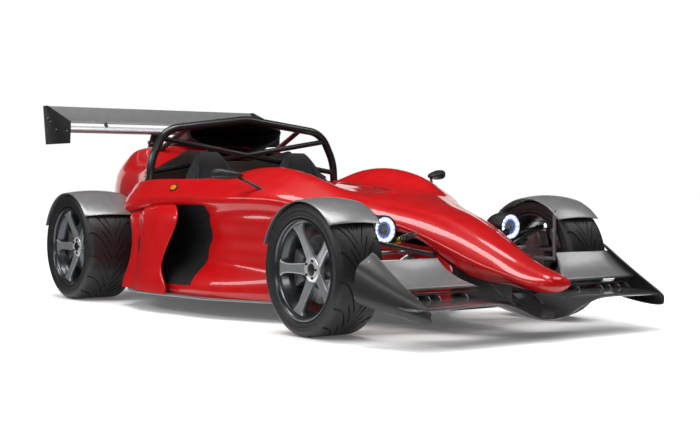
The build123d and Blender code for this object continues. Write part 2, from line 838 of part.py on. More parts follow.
# Seats: two bucket shells on the tub floor
seat_half_width = 215
seat_room = tub_half_width - tub_wall - 2 * seat_half_width    # free width beside each seat
tunnel_share = 20 / 29      # of that room, on the side of the centre tunnel
seat_y = seat_half_width + seat_room * tunnel_share
floor_top = tray_top + tub_wall + seat_gap
bolster_width = 55
seat_pan = [
    (from_rear(1310), 160), (from_rear(1310), 225), (from_rear(960), 190), (from_rear(930), 215),
    (from_rear(768), 905), (from_rear(706), 905), (from_rear(856), floor_top)
]
seat_bolster = [
    (from_rear(1310), 160), (from_rear(1310), 290), (from_rear(1060), 280), (from_rear(960), 430),
    (from_rear(835), 730), (from_rear(745), 730), (from_rear(856), floor_top)
]
# Seen from the front: half width and height, from the foot to the top of the headrest
seat_face = [
    (seat_half_width, floor_top), (seat_half_width, 520), (seat_half_width - 37, 716), (90, 800), (70, 905)
]
with BuildPart() as seats:
    with BuildSketch(Plane.XZ.offset(seat_y)):
        Polygon(*seat_pan, align=None)
    extrude(amount=seat_half_width, both=True)
    for side in (-1, 1):
        with BuildSketch(Plane.XZ.offset(seat_y + side * (seat_half_width - bolster_width / 2))):
            Polygon(*seat_bolster, align=None)
        extrude(amount=bolster_width / 2, both=True)
    with BuildSketch(Plane.YZ.offset(from_rear(500))):
        with BuildLine():
            FilletPolyline(
                *[(side * half - seat_y, z) for side, rows in ((1, seat_face), (-1, reversed(seat_face)))
                  for half, z in rows],
                radius=22, close=True
            )
        make_face()
    extrude(amount=900, mode=Mode.INTERSECT)
    mirror(about=Plane.XZ)
save(seats, "seats")

# Dashboard under the scuttle, with the steering column on the driver's side, the car's right
dash_x = from_front(-1150)
column_tilt = 20
wheel_centre = Vector(from_front(-1410), -seat_y, 600)
wheel_radius = 130
column_radius = 24
column_bore = 13
towards_driver = Vector(-cos(radians(column_tilt)), 0, sin(radians(column_tilt)))
column_end = wheel_centre - towards_driver * 60
column_root = wheel_centre - towards_driver * 290
dash_thickness = 20
dash_half_width = beside_tub(-tub_wall / 2)     # its foot stands on the tub's walls
dash_foot = tub_top + seat_gap
with BuildPart() as dashboard:
    with BuildSketch(Plane.YZ.offset(dash_x)) as dash_face:
        Polygon(
            (-dash_half_width, dash_foot), (dash_half_width, dash_foot), (dash_half_width, 600),
            (beside_tub(-170), 690), (-beside_tub(-170), 690), (-dash_half_width, 600), align=None
        )
        fillet(dash_face.vertices().sort_by(Axis.Y)[2:], 20)
    extrude(amount=dash_thickness)
    rod(column_root, column_end, column_radius)
    rod(column_end - towards_driver * 80, column_end, column_bore, Mode.SUBTRACT)
    add(scuttle.part, mode=Mode.SUBTRACT)
save(dashboard, "dashboard")

with BuildPart() as steering_wheel:
    with Locations(Plane(origin=wheel_centre, z_dir=towards_driver)):
        Torus(wheel_radius, 14)
        Cylinder(38, 20)
        Box(2 * wheel_radius, 30, 10)
    with Locations(Plane(origin=wheel_centre, z_dir=towards_driver, x_dir=(0, 1, 0))):
        with Locations((0, -wheel_radius / 2, 0)):
            Box(30, wheel_radius, 10)
    rod(wheel_centre, column_end - towards_driver * 70, column_bore - running_gap)
save(steering_wheel, "steering_wheel")

# Front wing endplates: blades that bow outwards and climb towards the tyres.
# Rows along the car: x, foot (y, z), belly (y, z), head (y, z)
plate_thickness = 9
span = front_wing_half_span
trim_reach = span + 160     # past the endplates' widest place
plate_rows = [
    (from_front(790), (span - 2, 118), (span + 4, 150), (span + 2, 178)),
    (from_front(640), (span - 2, 128), (span + 38, 190), (span + 4, 262)),
    (from_front(500), (span + 5, 145), (span + 72, 240), (span + 4, 345)),
    (from_front(385), (span + 50, 165), (span + 106, 285), (span + 4, 415)),
]


def plate_section(x, foot, belly, head):
    with BuildSketch(Plane.YZ.offset(x)) as profile:
        with BuildLine():
            ThreePointArc((-foot[0], foot[1]), (-belly[0], belly[1]), (-head[0], head[1]))
            Line((-head[0], head[1]), (-head[0] + plate_thickness, head[1]))
            ThreePointArc(
                (-head[0] + plate_thickness, head[1]), (-belly[0] + plate_thickness, belly[1]),
                (-foot[0] + plate_thickness, foot[1])
            )
            Line((-foot[0] + plate_thickness, foot[1]), (-foot[0], foot[1]))
        make_face()
    return profile.sketch


# All that lies outside the right endplate's inner face, to trim the planes to it
def outside_section(x, foot, belly, head):
    with BuildSketch(Plane.YZ.offset(x)) as profile:
        with BuildLine():
            ThreePointArc(
                (-foot[0] + plate_thickness, foot[1]), (-belly[0] + plate_thickness, belly[1]),
                (-head[0] + plate_thickness, head[1])
            )
            Polyline(
                (-head[0] + plate_thickness, head[1]), (-head[0] + plate_thickness, 2 * head[1]),
                (-trim_reach, 2 * head[1]), (-trim_reach, 0), (-foot[0] + plate_thickness, 0),
                (-foot[0] + plate_thickness, foot[1])
            )
        make_face()
    return profile.sketch


with BuildPart() as outside_plate:
    loft([outside_section(*row) for row in plate_rows], ruled=True)

with BuildPart() as front_wing_endplates:
    loft([plate_section(*row) for row in plate_rows], ruled=True)
    mirror(about=Plane.XZ)
save(front_wing_endplates, "front_wing_endplates")

# Front wing: a main plane that dips under the nose, with two struts to the belly.
# Rows across the span: y, then z of the leading and the trailing edge
wing_lead_x = from_front(780)
wing_trail_x = from_front(480)
wing_thickness = 22
plane_half_span = max(belly[0] for x, foot, belly, head in plate_rows) - 2 * plate_thickness
front_wing_rows = [
    (plane_half_span, 172, 205),
    (480, 184, 212),
    (310, 184, 212),
    (190, 146, 190),
    (100, 106, 168),
    (0, 94, 160),
]


# A wing section at one place across the car: round nose, arched back and hollow underside
def wing_section(y, lead, trail, thickness, camber):
    (lead_x, lead_z), (trail_x, trail_z) = lead, trail
    chord = Vector(trail_x - lead_x, trail_z - lead_z)
    up = Vector(chord.Y, -chord.X).normalized()

    def point(along, lift):
        spot = Vector(lead_x, lead_z) + chord * along + up * lift
        return (spot.X, spot.Y)

    nose_half = thickness * 0.4
    with BuildSketch(Plane.XZ.offset(-y)) as profile:
        with BuildLine():
            ThreePointArc(point(0.06, nose_half), point(0, 0), point(0.06, -nose_half))
            ThreePointArc(point(0.06, -nose_half), point(0.5, -thickness / 2 + camber), point(1, -1.5))
            Line(point(1, -1.5), point(1, 1.5))
            ThreePointArc(point(1, 1.5), point(0.5, thickness / 2 + camber), point(0.06, nose_half))
        make_face()
    return profile.sketch


def front_wing_sections():
    half = [
        wing_section(-y, (wing_lead_x, lead), (wing_trail_x, trail), wing_thickness, -6)
        for y, lead, trail in front_wing_rows
    ]
    other = [
        wing_section(y, (wing_lead_x, lead), (wing_trail_x, trail), wing_thickness, -6)
        for y, lead, trail in reversed(front_wing_rows[:-1])
    ]
    return half + other


strut_y = 96
strut_thickness = 8
with BuildPart() as front_wing_main:
    loft(front_wing_sections(), ruled=True)
    for side in (-1, 1):
        with BuildSketch(Plane.XZ.offset(side * strut_y)):
            Polygon(
                (from_front(500), 165), (from_front(640), 150),
                (from_front(560), 300), (from_front(410), 300),
                align=None
            )
        extrude(amount=strut_thickness / 2, both=True)
    add(nose_form.part, mode=Mode.SUBTRACT)
    add(outside_plate.part, mode=Mode.SUBTRACT)
    mirror(outside_plate.part, about=Plane.XZ, mode=Mode.SUBTRACT)
save(front_wing_main, "front_wing_main")

# Front wing flaps: steep blades behind the main plane, cut away in an arc beside the nose
flap_lead = (from_front(570), 248)
flap_trail = (from_front(412), 372)
flap_inner = 235
flap_cut_radius = 150
with BuildPart() as front_wing_flaps:
    loft([
        wing_section(-y, flap_lead, flap_trail, 14, -16)
        for y in (plane_half_span, flap_inner)
    ], ruled=True)
    with BuildSketch(Plane.YZ.offset(flap_trail[0] - 20)):
        with Locations((-flap_inner, flap_trail[1] + 20)):
            Circle(flap_cut_radius)
    extrude(amount=flap_lead[0] - flap_trail[0] + 40, mode=Mode.SUBTRACT)
    add(outside_plate.part, mode=Mode.SUBTRACT)
    mirror(about=Plane.XZ)
save(front_wing_flaps, "front_wing_flaps")

# Rear wing: main plane and flap between endplates, on two pylons from the gearbox
wing_tail_x = -length / 2
main_lead = (wing_tail_x + 415, wing_top - 168)
main_trail = (wing_tail_x + 130, wing_top - 132)
rear_flap_lead = (wing_tail_x + 152, wing_top - 112)
rear_flap_trail = (wing_tail_x + 30, wing_top - 2)
rear_plate_thickness = 6
inner_span = wing_half_span - rear_plate_thickness
with BuildPart() as rear_wing_planes:
    for lead, trail, thickness, camber in (
        (main_lead, main_trail, 36, -12), (rear_flap_lead, rear_flap_trail, 16, -12)
    ):
        ends = [wing_section(side * inner_span, lead, trail, thickness, camber) for side in (-1, 1)]
        loft(ends, ruled=True)
save(rear_wing_planes, "rear_wing_planes")

with BuildPart() as rear_wing_endplates:
    with BuildSketch(Plane.XZ.offset(inner_span)):
        Polygon(
            (wing_tail_x, wing_top), (wing_tail_x + 67, wing_top), (wing_tail_x + 420, wing_top - 117),
            (wing_tail_x + 408, wing_top - 253), (wing_tail_x + 40, wing_top - 253), align=None
        )
    extrude(amount=rear_plate_thickness)
    mirror(about=Plane.XZ)
save(rear_wing_endplates, "rear_wing_endplates")

pylon_thickness = 10
pylon_knee = 860            # where the pylons lean forward over the engine cover's tail
with BuildPart() as rear_wing_pylons:
    with BuildSketch(Plane.XZ.offset(tail_half_width)):
        Polygon(
            (gearbox_tail + 80, 340), (gearbox_tail + 4, 340), (gearbox_tail - 14, pylon_knee),
            (wing_tail_x + 230, wing_top - 150), (wing_tail_x + 340, wing_top - 150),
            (gearbox_tail + 66, pylon_knee), align=None
        )
    extrude(amount=pylon_thickness)
    add(rear_wing_planes.part, mode=Mode.SUBTRACT)
    mirror(about=Plane.XZ)
save(rear_wing_pylons, "rear_wing_pylons")

# Diffuser: a rising floor behind the undertray with upright fences
diffuser_half_width = 420
diffuser_front = from_rear(160)
diffuser_back = from_rear(-460)
diffuser_rise = 150
fence_height = 90
with BuildPart() as diffuser:
    with BuildSketch(Plane.XZ):
        Polygon(
            (diffuser_front, ride_height), (diffuser_front, tray_top),
            (diffuser_back, tray_top + diffuser_rise), (diffuser_back, ride_height + diffuser_rise),
            align=None
        )
    extrude(amount=diffuser_half_width, both=True)
    for fence in range(4):
        fence_y = diffuser_half_width * (fence / 1.5 - 1) * 0.985
        with BuildSketch(Plane.XZ.offset(fence_y)):
            Polygon(
                (diffuser_front - 150, ride_height + 30), (diffuser_back, ride_height + diffuser_rise + 4),
                (diffuser_back, ride_height + diffuser_rise - fence_height),
                (diffuser_front - 150, ride_height),
                align=None
            )
        extrude(amount=3, both=True)
save(diffuser, "diffuser")

# Exhaust: a tailpipe between the pylons on a hanger over the gearbox
exhaust_z = 560
exhaust_radius = 44
exhaust_bore = 40
tail_top = 370 + 75
with BuildPart() as exhaust:
    rod((from_rear(-150), 0, exhaust_z), (gearbox_tail - 20, 0, exhaust_z), exhaust_radius)
    with Locations((from_rear(-330), 0, (tail_top + exhaust_z) / 2 + seat_gap)):
        Box(30, 50, exhaust_z - tail_top)
    rod((from_rear(-180), 0, exhaust_z), (gearbox_tail - 20, 0, exhaust_z), exhaust_bore, Mode.SUBTRACT)
save(exhaust, "exhaust")

with BuildPart() as rain_lamp:
    with Locations((gearbox_tail - seat_gap - 12, 0, 370)):
        Box(24, 120, 60)
    fillet(rain_lamp.edges().filter_by(Axis.X), 10)
save(rain_lamp, "rain_lamp")

# Headlamps: bullet pods on stalks from the nose
nose_side = nose_rows[1][2][0]
lamp_room = front_half_track - front_rim_width - sidewall_bulge - nose_side
lamp_y = nose_side + lamp_room * 113 / 303
lamp_z = 492
lamp_front = from_front(62)
lamp_radius = lamp_room * 70 / 303
lamp_length = 185
lens_radius = lamp_radius - 6
lens_seat = 14              # the lens's back behind the pod's front edge
with BuildPart() as headlamp_pods:
    with BuildSketch(Plane(origin=(lamp_front, -lamp_y, lamp_z), x_dir=(1, 0, 0), z_dir=(0, 1, 0))):
        with BuildLine():
            Polyline(
                (-lamp_length, 0), (-lens_seat, 0), (-lens_seat, lens_radius + seat_gap),
                (0, lens_radius + seat_gap), (0, lamp_radius), (-60, lamp_radius)
            )
            ThreePointArc((-60, lamp_radius), (-140, lamp_radius * 0.72), (-lamp_length, 0))
        make_face()
    revolve(axis=Axis((lamp_front, -lamp_y, lamp_z), (1, 0, 0)))
    rod((lamp_front - 90, -lamp_y + 30, lamp_z - 10), (lamp_front - 110, 60 - nose_side, lamp_z + 12), 11)
    add(nose_form.part, mode=Mode.SUBTRACT)
    mirror(about=Plane.XZ)
save(headlamp_pods, "headlamp_pods")

with BuildPart() as headlamp_lenses:
    rod((lamp_front - lens_seat + seat_gap, -lamp_y, lamp_z), (lamp_front - 2, -lamp_y, lamp_z), lens_radius)
    mirror(about=Plane.XZ)
save(headlamp_lenses, "headlamp_lenses")

# Mirrors: pods on stalks from the shoulders
mirror_place = (from_front(-885), -beside_tub(115), 768)
mirror_stalk_radius = 9
with BuildPart() as mirrors:
    pod_sections = []
    for ahead, width, height in ((-26, 150, 82), (10, 150, 82), (38, 90, 46)):
        with BuildSketch(Plane.YZ.offset(mirror_place[0] + ahead)) as profile:
            with Locations((mirror_place[1], mirror_place[2])):
                RectangleRounded(width, height, 20)
        pod_sections.append(profile.sketch)
    loft(pod_sections, ruled=True)
    rod(
        (mirror_place[0], mirror_place[1] + 50, mirror_place[2] - 15),
        (from_front(-730), -beside_tub(-45), 660), mirror_stalk_radius
    )
    add(side_panel_right.part, mode=Mode.SUBTRACT)
    add(scuttle_form.part, mode=Mode.SUBTRACT)
    add(scuttle.part, mode=Mode.SUBTRACT)
    mirror(about=Plane.XZ)
save(mirrors, "mirrors")
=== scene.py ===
import math
from contextlib import contextmanager
import bpy
from mathutils import Matrix, Vector


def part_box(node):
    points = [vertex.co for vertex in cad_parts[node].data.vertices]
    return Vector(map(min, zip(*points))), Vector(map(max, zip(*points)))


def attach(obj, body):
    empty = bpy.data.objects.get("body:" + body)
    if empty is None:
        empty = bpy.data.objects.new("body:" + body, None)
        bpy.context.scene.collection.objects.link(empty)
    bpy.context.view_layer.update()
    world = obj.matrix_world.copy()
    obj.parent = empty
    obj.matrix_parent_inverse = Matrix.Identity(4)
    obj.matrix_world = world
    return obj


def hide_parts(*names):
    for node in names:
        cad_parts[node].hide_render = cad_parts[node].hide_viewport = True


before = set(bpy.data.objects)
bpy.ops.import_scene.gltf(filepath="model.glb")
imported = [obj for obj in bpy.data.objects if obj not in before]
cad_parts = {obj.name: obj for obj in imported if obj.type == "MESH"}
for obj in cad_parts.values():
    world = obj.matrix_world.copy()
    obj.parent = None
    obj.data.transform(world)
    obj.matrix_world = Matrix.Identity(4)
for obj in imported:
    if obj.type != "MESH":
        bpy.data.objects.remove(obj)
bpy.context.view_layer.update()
print("frame loaded:", len(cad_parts), "nodes")


def hubOf(node):  # the middle of a packed rim's outer lip, and the rim's width
    low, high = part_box(node)
    return Vector(((low.x + high.x) / 2, low.y, (low.z + high.z) / 2)), high.y - low.y


frontHub, frontRimWidth = hubOf("rim_front_right")
rearHub, rearRimWidth = hubOf("rim_rear_right")
frontX, rearX = frontHub.x, rearHub.x


# modelling helpers

def pick(*pieces):
    bpy.ops.object.select_all(action="DESELECT")
    for piece in pieces:
        piece.select_set(True)
    bpy.context.view_layer.objects.active = pieces[0]


def nameIt(piece, name):
    piece.name = name
    piece.data.name = name
    return piece

@contextmanager
def editing(piece, whole=True):  # edit mode, with the whole mesh selected or what was selected before
    pick(piece)
    bpy.ops.object.mode_set(mode="EDIT")
    if whole:
        bpy.ops.mesh.select_all(action="SELECT")
    yield
    bpy.ops.object.mode_set(mode="OBJECT")


def painted(piece, *materials):
    piece.data.materials.clear()
    for material in materials:
        piece.data.materials.append(material)
    return piece


def applied(piece, kind, **values):  # adds one modifier and applies it
    modifier = piece.modifiers.new(kind.lower(), kind)
    for key, value in values.items():
        setattr(modifier, key, value)
    pick(piece)
    bpy.ops.object.modifier_apply(modifier=modifier.name)
    return piece


def subdivided(piece, levels=2):
    return applied(piece, "SUBSURF", levels=levels, render_levels=levels)


def thickened(piece, thickness, outside=None, inside=None):  # a skin, with another finish on its inner face
    if inside:
        painted(piece, outside, inside)
    return applied(piece, "SOLIDIFY", thickness=thickness, offset=-1.0, material_offset=1 if inside else 0)


def bevelled(piece, width, segments=2, angle=30):
    return applied(piece, "BEVEL", width=width, segments=segments, limit_method="ANGLE",
                   angle_limit=math.radians(angle), use_clamp_overlap=True)


def mirrored(piece):  # the car's other side, in the same mesh
    return applied(piece, "MIRROR", use_axis=(False, True, False), use_clip=True, merge_threshold=0.0005)


def cleaned(piece, merge=0.00002):  # doubles merged, faces turned outwards
    with editing(piece):
        bpy.ops.mesh.remove_doubles(threshold=merge)
        bpy.ops.mesh.normals_make_consistent(inside=False)
        bpy.ops.mesh.select_all(action="DESELECT")
    return piece


def turnedOver(piece):
    with editing(piece):
        bpy.ops.mesh.flip_normals()


def facing(piece, direction):  # an open sheet's faces look along this direction on the whole
    total = sum((face.normal * face.area for face in piece.data.polygons), Vector())
    if total.dot(Vector(direction)) < 0:
        turnedOver(piece)
    return piece


def selectFaces(piece, wanted):
    with editing(piece, False):
        bpy.ops.mesh.select_mode(type="FACE")
        bpy.ops.mesh.select_all(action="DESELECT")
    for face in piece.data.polygons:
        face.select = wanted(face)


def deleteFaces(piece, wanted):
    selectFaces(piece, wanted)
    with editing(piece, False):
        bpy.ops.mesh.delete(type="FACE")


def layGrid(name, rows):  # a grid primitive whose rows lie on the piece's sections
    bpy.ops.object.select_all(action="DESELECT")
    bpy.ops.mesh.primitive_grid_add(x_subdivisions=len(rows[0]) - 1, y_subdivisions=len(rows) - 1, size=1,
                                    location=(0, 0, 0))
    piece = nameIt(bpy.context.object, name)
    points = [point for row in rows for point in row]
    for vertex, point in zip(piece.data.vertices, points):
        vertex.co = point
    return piece


def layTube(name, rings):  # rings of points joined into a tube with closed ends
    piece = cleaned(layGrid(name, [list(ring) + [ring[0]] for ring in rings]))
    with editing(piece, False):
        bpy.ops.mesh.select_mode(type="EDGE")
        bpy.ops.mesh.select_non_manifold()
        bpy.ops.mesh.fill_holes(sides=0)
        bpy.ops.mesh.select_all(action="SELECT")
        bpy.ops.mesh.normals_make_consistent(inside=False)
    return piece


def plateAcross(name, outline, fromY, toY, edge):  # a flat plate with an outline of (x, z)
    return bevelled(layTube(name, [[(x, y, z) for x, z in outline] for y in (fromY, toY)]), edge)


def spunPiece(name, place, axis, profile, steps):  # (radius, distance along) turned about an axis
    axis = Vector(axis).normalized()
    across = axis.orthogonal().normalized()
    beside = axis.cross(across)
    rows = []
    for i in range(steps + 1):
        turn = 2 * math.pi * i / steps
        away = across * math.cos(turn) + beside * math.sin(turn)
        rows.append([Vector(place) + away * radius + axis * along for radius, along in profile])
    return cleaned(layGrid(name, rows))


def boltHead(name, place, axis, radius, height):  # a domed head standing on a face
    profile = [(0.0, height), (radius * 0.45, height), (radius * 0.8, height * 0.85), (radius, height * 0.35),
               (radius, -0.001), (0.0, -0.001)]
    return spunPiece(name, place, axis, profile, 16)


def tubeAlong(name, path, radii, points=12):  # a round tube along a path, with a radius at each of its points
    path = [Vector(p) for p in path]
    across = (path[1] - path[0]).normalized().orthogonal().normalized()
    turns = [2 * math.pi * k / points for k in range(points)]
    rings = []
    for i, here in enumerate(path):
        run = (path[min(i + 1, len(path) - 1)] - path[max(i - 1, 0)]).normalized()
        across = (across - run * across.dot(run)).normalized()
        beside = run.cross(across)
        away = [across * math.cos(turn) + beside * math.sin(turn) for turn in turns]
        rings.append([here + way * radii[i] for way in away])
    return layTube(name, rings)


def spread(rows, share=1 / 6):  # moves cage points out by what the subdivision pulls them in, along each row
    moved = []
    for row in rows:
        points = [Vector(p) for p in row]
        new = [points[0]]
        for before, here, after in zip(points, points[1:], points[2:]):
            new.append(here - (before - 2 * here + after) * share)
        moved.append(new + [points[-1]])
    return moved


def crossed(rows):  # rows and columns swapped
    return [list(column) for column in zip(*rows)]


def pushedOut(rows):  # both ways, so that the finished skin passes through its stations
    return crossed(spread(crossed(spread(rows))))


def joined(name, *pieces):
    pick(*pieces)
    if len(pieces) > 1:
        bpy.ops.object.join()
    return nameIt(pieces[0], name)


def movedTo(piece, matrix):  # a turn and a shift, kept in the mesh
    piece.data.transform(matrix)
    piece.data.update()
    return piece


def copied(piece, name):
    twin = piece.copy()
    twin.data = piece.data.copy()
    bpy.context.collection.objects.link(twin)
    return nameIt(twin, name)


def flippedSide(piece, name):  # the same piece for the car's other side
    twin = movedTo(copied(piece, name), Matrix.Diagonal((1, -1, 1, 1)))
    return cleaned(twin)


def dressed(piece, material=None, replaced=(), angle=35, body="chassis"):
    pick(piece)
    bpy.ops.object.shade_smooth_by_angle(angle=math.radians(angle))
    if material:
        painted(piece, material)
    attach(piece, body)
    if replaced:
        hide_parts(*replaced)


def nodeCopy(node):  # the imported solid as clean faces: merged, with flat facets joined
    piece = bpy.data.objects.new(node + "_finished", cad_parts[node].data.copy())
    bpy.context.collection.objects.link(piece)
    piece.data.materials.clear()
    cleaned(piece, 0.00005)
    with editing(piece):
        bpy.ops.mesh.dissolve_limited(angle_limit=math.radians(0.5))
    return piece


# materials

def startMaterial(name):
    material = bpy.data.materials.new(name)
    material.use_nodes = True
    tree = material.node_tree
    return material, tree.nodes, tree.links, tree.nodes["Principled BSDF"]


def setInputs(node, values):
    for name, value in values.items():
        node.inputs[name].default_value = value


def addNode(nodes, kind, values):  # a shader node with the values of its inputs
    node = nodes.new("ShaderNode" + kind)
    setInputs(node, values)
    return node


def combined(nodes, links, operation, first, second):  # two values through one math node
    node = nodes.new("ShaderNodeMath")
    node.operation = operation
    links.new(first, node.inputs[0])
    links.new(second, node.inputs[1])
    return node.outputs["Value"]


def addBump(nodes, links, shader, height, strength, distance):
    ripple = addNode(nodes, "Bump", {"Strength": strength, "Distance": distance})
    links.new(height, ripple.inputs["Height"])
    links.new(ripple.outputs["Normal"], shader.inputs["Normal"])


def speckle(nodes, links, scale, low, high, detail=3.0, stretch=(1, 1, 1)):  # a noise between two colours
    place = nodes.new("ShaderNodeTexCoord")
    mapping = addNode(nodes, "Mapping", {"Scale": stretch})
    noise = addNode(nodes, "TexNoise", {"Scale": scale, "Detail": detail})
    ramp = nodes.new("ShaderNodeValToRGB")
    for element, position, colour in zip(ramp.color_ramp.elements, (0.3, 0.7), (low, high)):
        element.position = position
        element.color = colour
    links.new(place.outputs["Object"], mapping.inputs["Vector"])
    links.new(mapping.outputs["Vector"], noise.inputs["Vector"])
    links.new(noise.outputs["Fac"], ramp.inputs["Fac"])
    return ramp.outputs["Color"], noise.outputs["Fac"]


def grey(value):
    return (value, value, value, 1)


def tone(colour, share):
    return tuple(min(1.0, c * share) for c in colour) + (1,)



def finishMaterial(name, colour, roughness, metallic=0.0, scale=30.0, vary=0.12, bump=0.02, coat=0.0,
                   coatRoughness=0.05, stretch=(1, 1, 1), roughVary=0.06, specular=0.5):
    material, nodes, links, shader = startMaterial(name)
    colourOut, _ = speckle(nodes, links, scale, tone(colour, 1 - vary), tone(colour, 1 + vary), 3.0, stretch)
    links.new(colourOut, shader.inputs["Base Color"])
    smooth, rough = grey(roughness - roughVary), grey(roughness + roughVary)
    roughOut, fine = speckle(nodes, links, scale * 4, smooth, rough, 2.0, stretch)
    links.new(roughOut, shader.inputs["Roughness"])
    setInputs(shader, {"Metallic": metallic, "Specular IOR Level": specular, "Coat Weight": coat,
                       "Coat Roughness": coatRoughness})
    if bump:
        addBump(nodes, links, shader, fine, bump, 0.002)
    return material


def weaveMaterial(name, dark, light, roughness, pitch, bump=0.25, specular=0.5):  # twill in two tones
    material, nodes, links, shader = startMaterial(name)
    place = nodes.new("ShaderNodeTexCoord")
    waves = []
    for turn in (45, -45):
        mapping = addNode(nodes, "Mapping", {"Rotation": [math.radians(turn)] * 3})
        wave = addNode(nodes, "TexWave", {"Scale": 0.31 / pitch})
        links.new(place.outputs["Object"], mapping.inputs["Vector"])
        links.new(mapping.outputs["Vector"], wave.inputs["Vector"])
        waves.append(wave.outputs["Fac"])
    height = combined(nodes, links, "MULTIPLY", *waves)
    ramp = nodes.new("ShaderNodeValToRGB")
    for element, colour in zip(ramp.color_ramp.elements, (dark, light)):
        element.color = colour
    links.new(height, ramp.inputs["Fac"])
    links.new(ramp.outputs["Color"], shader.inputs["Base Color"])
    roughOut, _ = speckle(nodes, links, 14.0, grey(roughness - 0.05), grey(roughness + 0.05))
    links.new(roughOut, shader.inputs["Roughness"])
    setInputs(shader, {"Specular IOR Level": specular})
    addBump(nodes, links, shader, height, bump, 0.0004)
    return material


def glowMaterial(name, low, high, strength, scale=60.0):
    material, nodes, links, shader = startMaterial(name)
    colourOut, _ = speckle(nodes, links, scale, low, high)
    for socket in ("Base Color", "Emission Color"):
        links.new(colourOut, shader.inputs[socket])
    setInputs(shader, {"Emission Strength": strength, "Roughness": 0.2})
    return material


def glassMaterial(name, low, high, roughness=0.04, ior=1.46):
    material, nodes, links, shader = startMaterial(name)
    colourOut, _ = speckle(nodes, links, 25.0, low, high)
    links.new(colourOut, shader.inputs["Base Color"])
    setInputs(shader, {"Transmission Weight": 1.0, "Roughness": roughness, "IOR": ior})
    return material


paint = finishMaterial("glossRed", (0.62, 0.004, 0.006), 0.38, scale=3.0, vary=0.06, bump=0.012, coat=0.8,
                       coatRoughness=0.06, specular=0.2)
carbon = finishMaterial("satinComposite", (0.27, 0.27, 0.275), 0.33, metallic=0.35, scale=22.0, vary=0.06,
                        bump=0.0, coat=0.3, coatRoughness=0.18, roughVary=0.012)
glossCarbon = finishMaterial("glossComposite", (0.085, 0.085, 0.088), 0.26, metallic=0.3, scale=22.0,
                             vary=0.06, bump=0.0, coat=0.8, coatRoughness=0.10, roughVary=0.012)
plateCarbon = finishMaterial("charcoalPlate", (0.024, 0.024, 0.025), 0.40, vary=0.10, bump=0.0)
shieldCarbon = weaveMaterial("heatShield", (0.030, 0.022, 0.018, 1), (0.085, 0.065, 0.055, 1), 0.45, 0.006,
                             bump=0.4)
blackSteel = finishMaterial("blackTube", (0.012, 0.012, 0.013), 0.32, scale=60.0, coat=0.4, coatRoughness=0.2)
gunmetal = finishMaterial("gunmetalRim", (0.44, 0.455, 0.475), 0.30, metallic=0.6, scale=40.0, vary=0.06,
                          bump=0.0, coat=0.3, roughVary=0.012)
rimDark = finishMaterial("rimBarrel", (0.10, 0.105, 0.115), 0.30, metallic=0.85, scale=40.0, coat=0.4,
                         bump=0.0, roughVary=0.012)
bright = finishMaterial("machinedFace", (0.72, 0.73, 0.75), 0.22, metallic=1.0, scale=90.0, vary=0.05)
# polished alloy on the hub faces; on the rear wing's lower plane it paints a highlight
polishedAndHighlight = finishMaterial("polishedAlloyAndHighlight", (0.86, 0.86, 0.87), 0.24, metallic=0.45, scale=30.0, vary=0.04,
                          stretch=(6, 1, 6))
steel = finishMaterial("brushedSteel", (0.42, 0.42, 0.43), 0.30, metallic=1.0, scale=50.0, stretch=(1, 6, 1))
castMetal = finishMaterial("castAlloy", (0.34, 0.34, 0.35), 0.48, metallic=0.85, scale=120.0, bump=0.15)
gold = finishMaterial("goldAnodised", (0.65, 0.38, 0.04), 0.28, metallic=1.0, scale=80.0)
rubber = finishMaterial("tyreRubber", (0.020, 0.020, 0.021), 0.46, scale=90.0, vary=0.25, bump=0.06)
seatCloth = weaveMaterial("seatCloth", (0.014, 0.014, 0.016, 1), (0.046, 0.046, 0.050, 1), 0.80, 0.004, 0.5,
                          specular=0.25)
grip = finishMaterial("gripLeather", (0.018, 0.018, 0.018), 0.60, scale=160.0, bump=0.25)
blackPlastic = finishMaterial("blackPlastic", (0.014, 0.014, 0.015), 0.40, scale=120.0, bump=0.06)
lensGlass = glassMaterial("lampGlass", (0.93, 0.96, 1.0, 1), (1, 1, 1, 1))
mirrorGlass = finishMaterial("mirrorGlass", (0.80, 0.82, 0.84), 0.06, metallic=1.0, scale=8.0, vary=0.02,
                             roughVary=0.02)
whiteGlow = glowMaterial("whiteDiode", (0.80, 0.90, 1.0, 1), (1, 1, 1, 1), 2.2)
paleGlow = glowMaterial("paleHalo", (0.42, 0.52, 0.78, 1), (0.72, 0.80, 0.95, 1), 0.45, 90.0)
blueGlow = glowMaterial("blueRing", (0.02, 0.06, 0.30, 1), (0.08, 0.20, 0.75, 1), 0.6, 90.0)
amber = finishMaterial("amberLens", (0.85, 0.30, 0.01), 0.12, scale=150.0, vary=0.2, bump=0.2, coat=1.0)
redLens = finishMaterial("redLens", (0.50, 0.01, 0.012), 0.12, scale=150.0, vary=0.2, bump=0.3, coat=1.0)
coreMesh = weaveMaterial("radiatorMesh", (0.002, 0.002, 0.002, 1), (0.030, 0.030, 0.032, 1), 0.50, 0.006, 0.8)
print("materials ready")


# red body: rows of x, then (half width, z) from the ridge or cockpit wall down to the sill

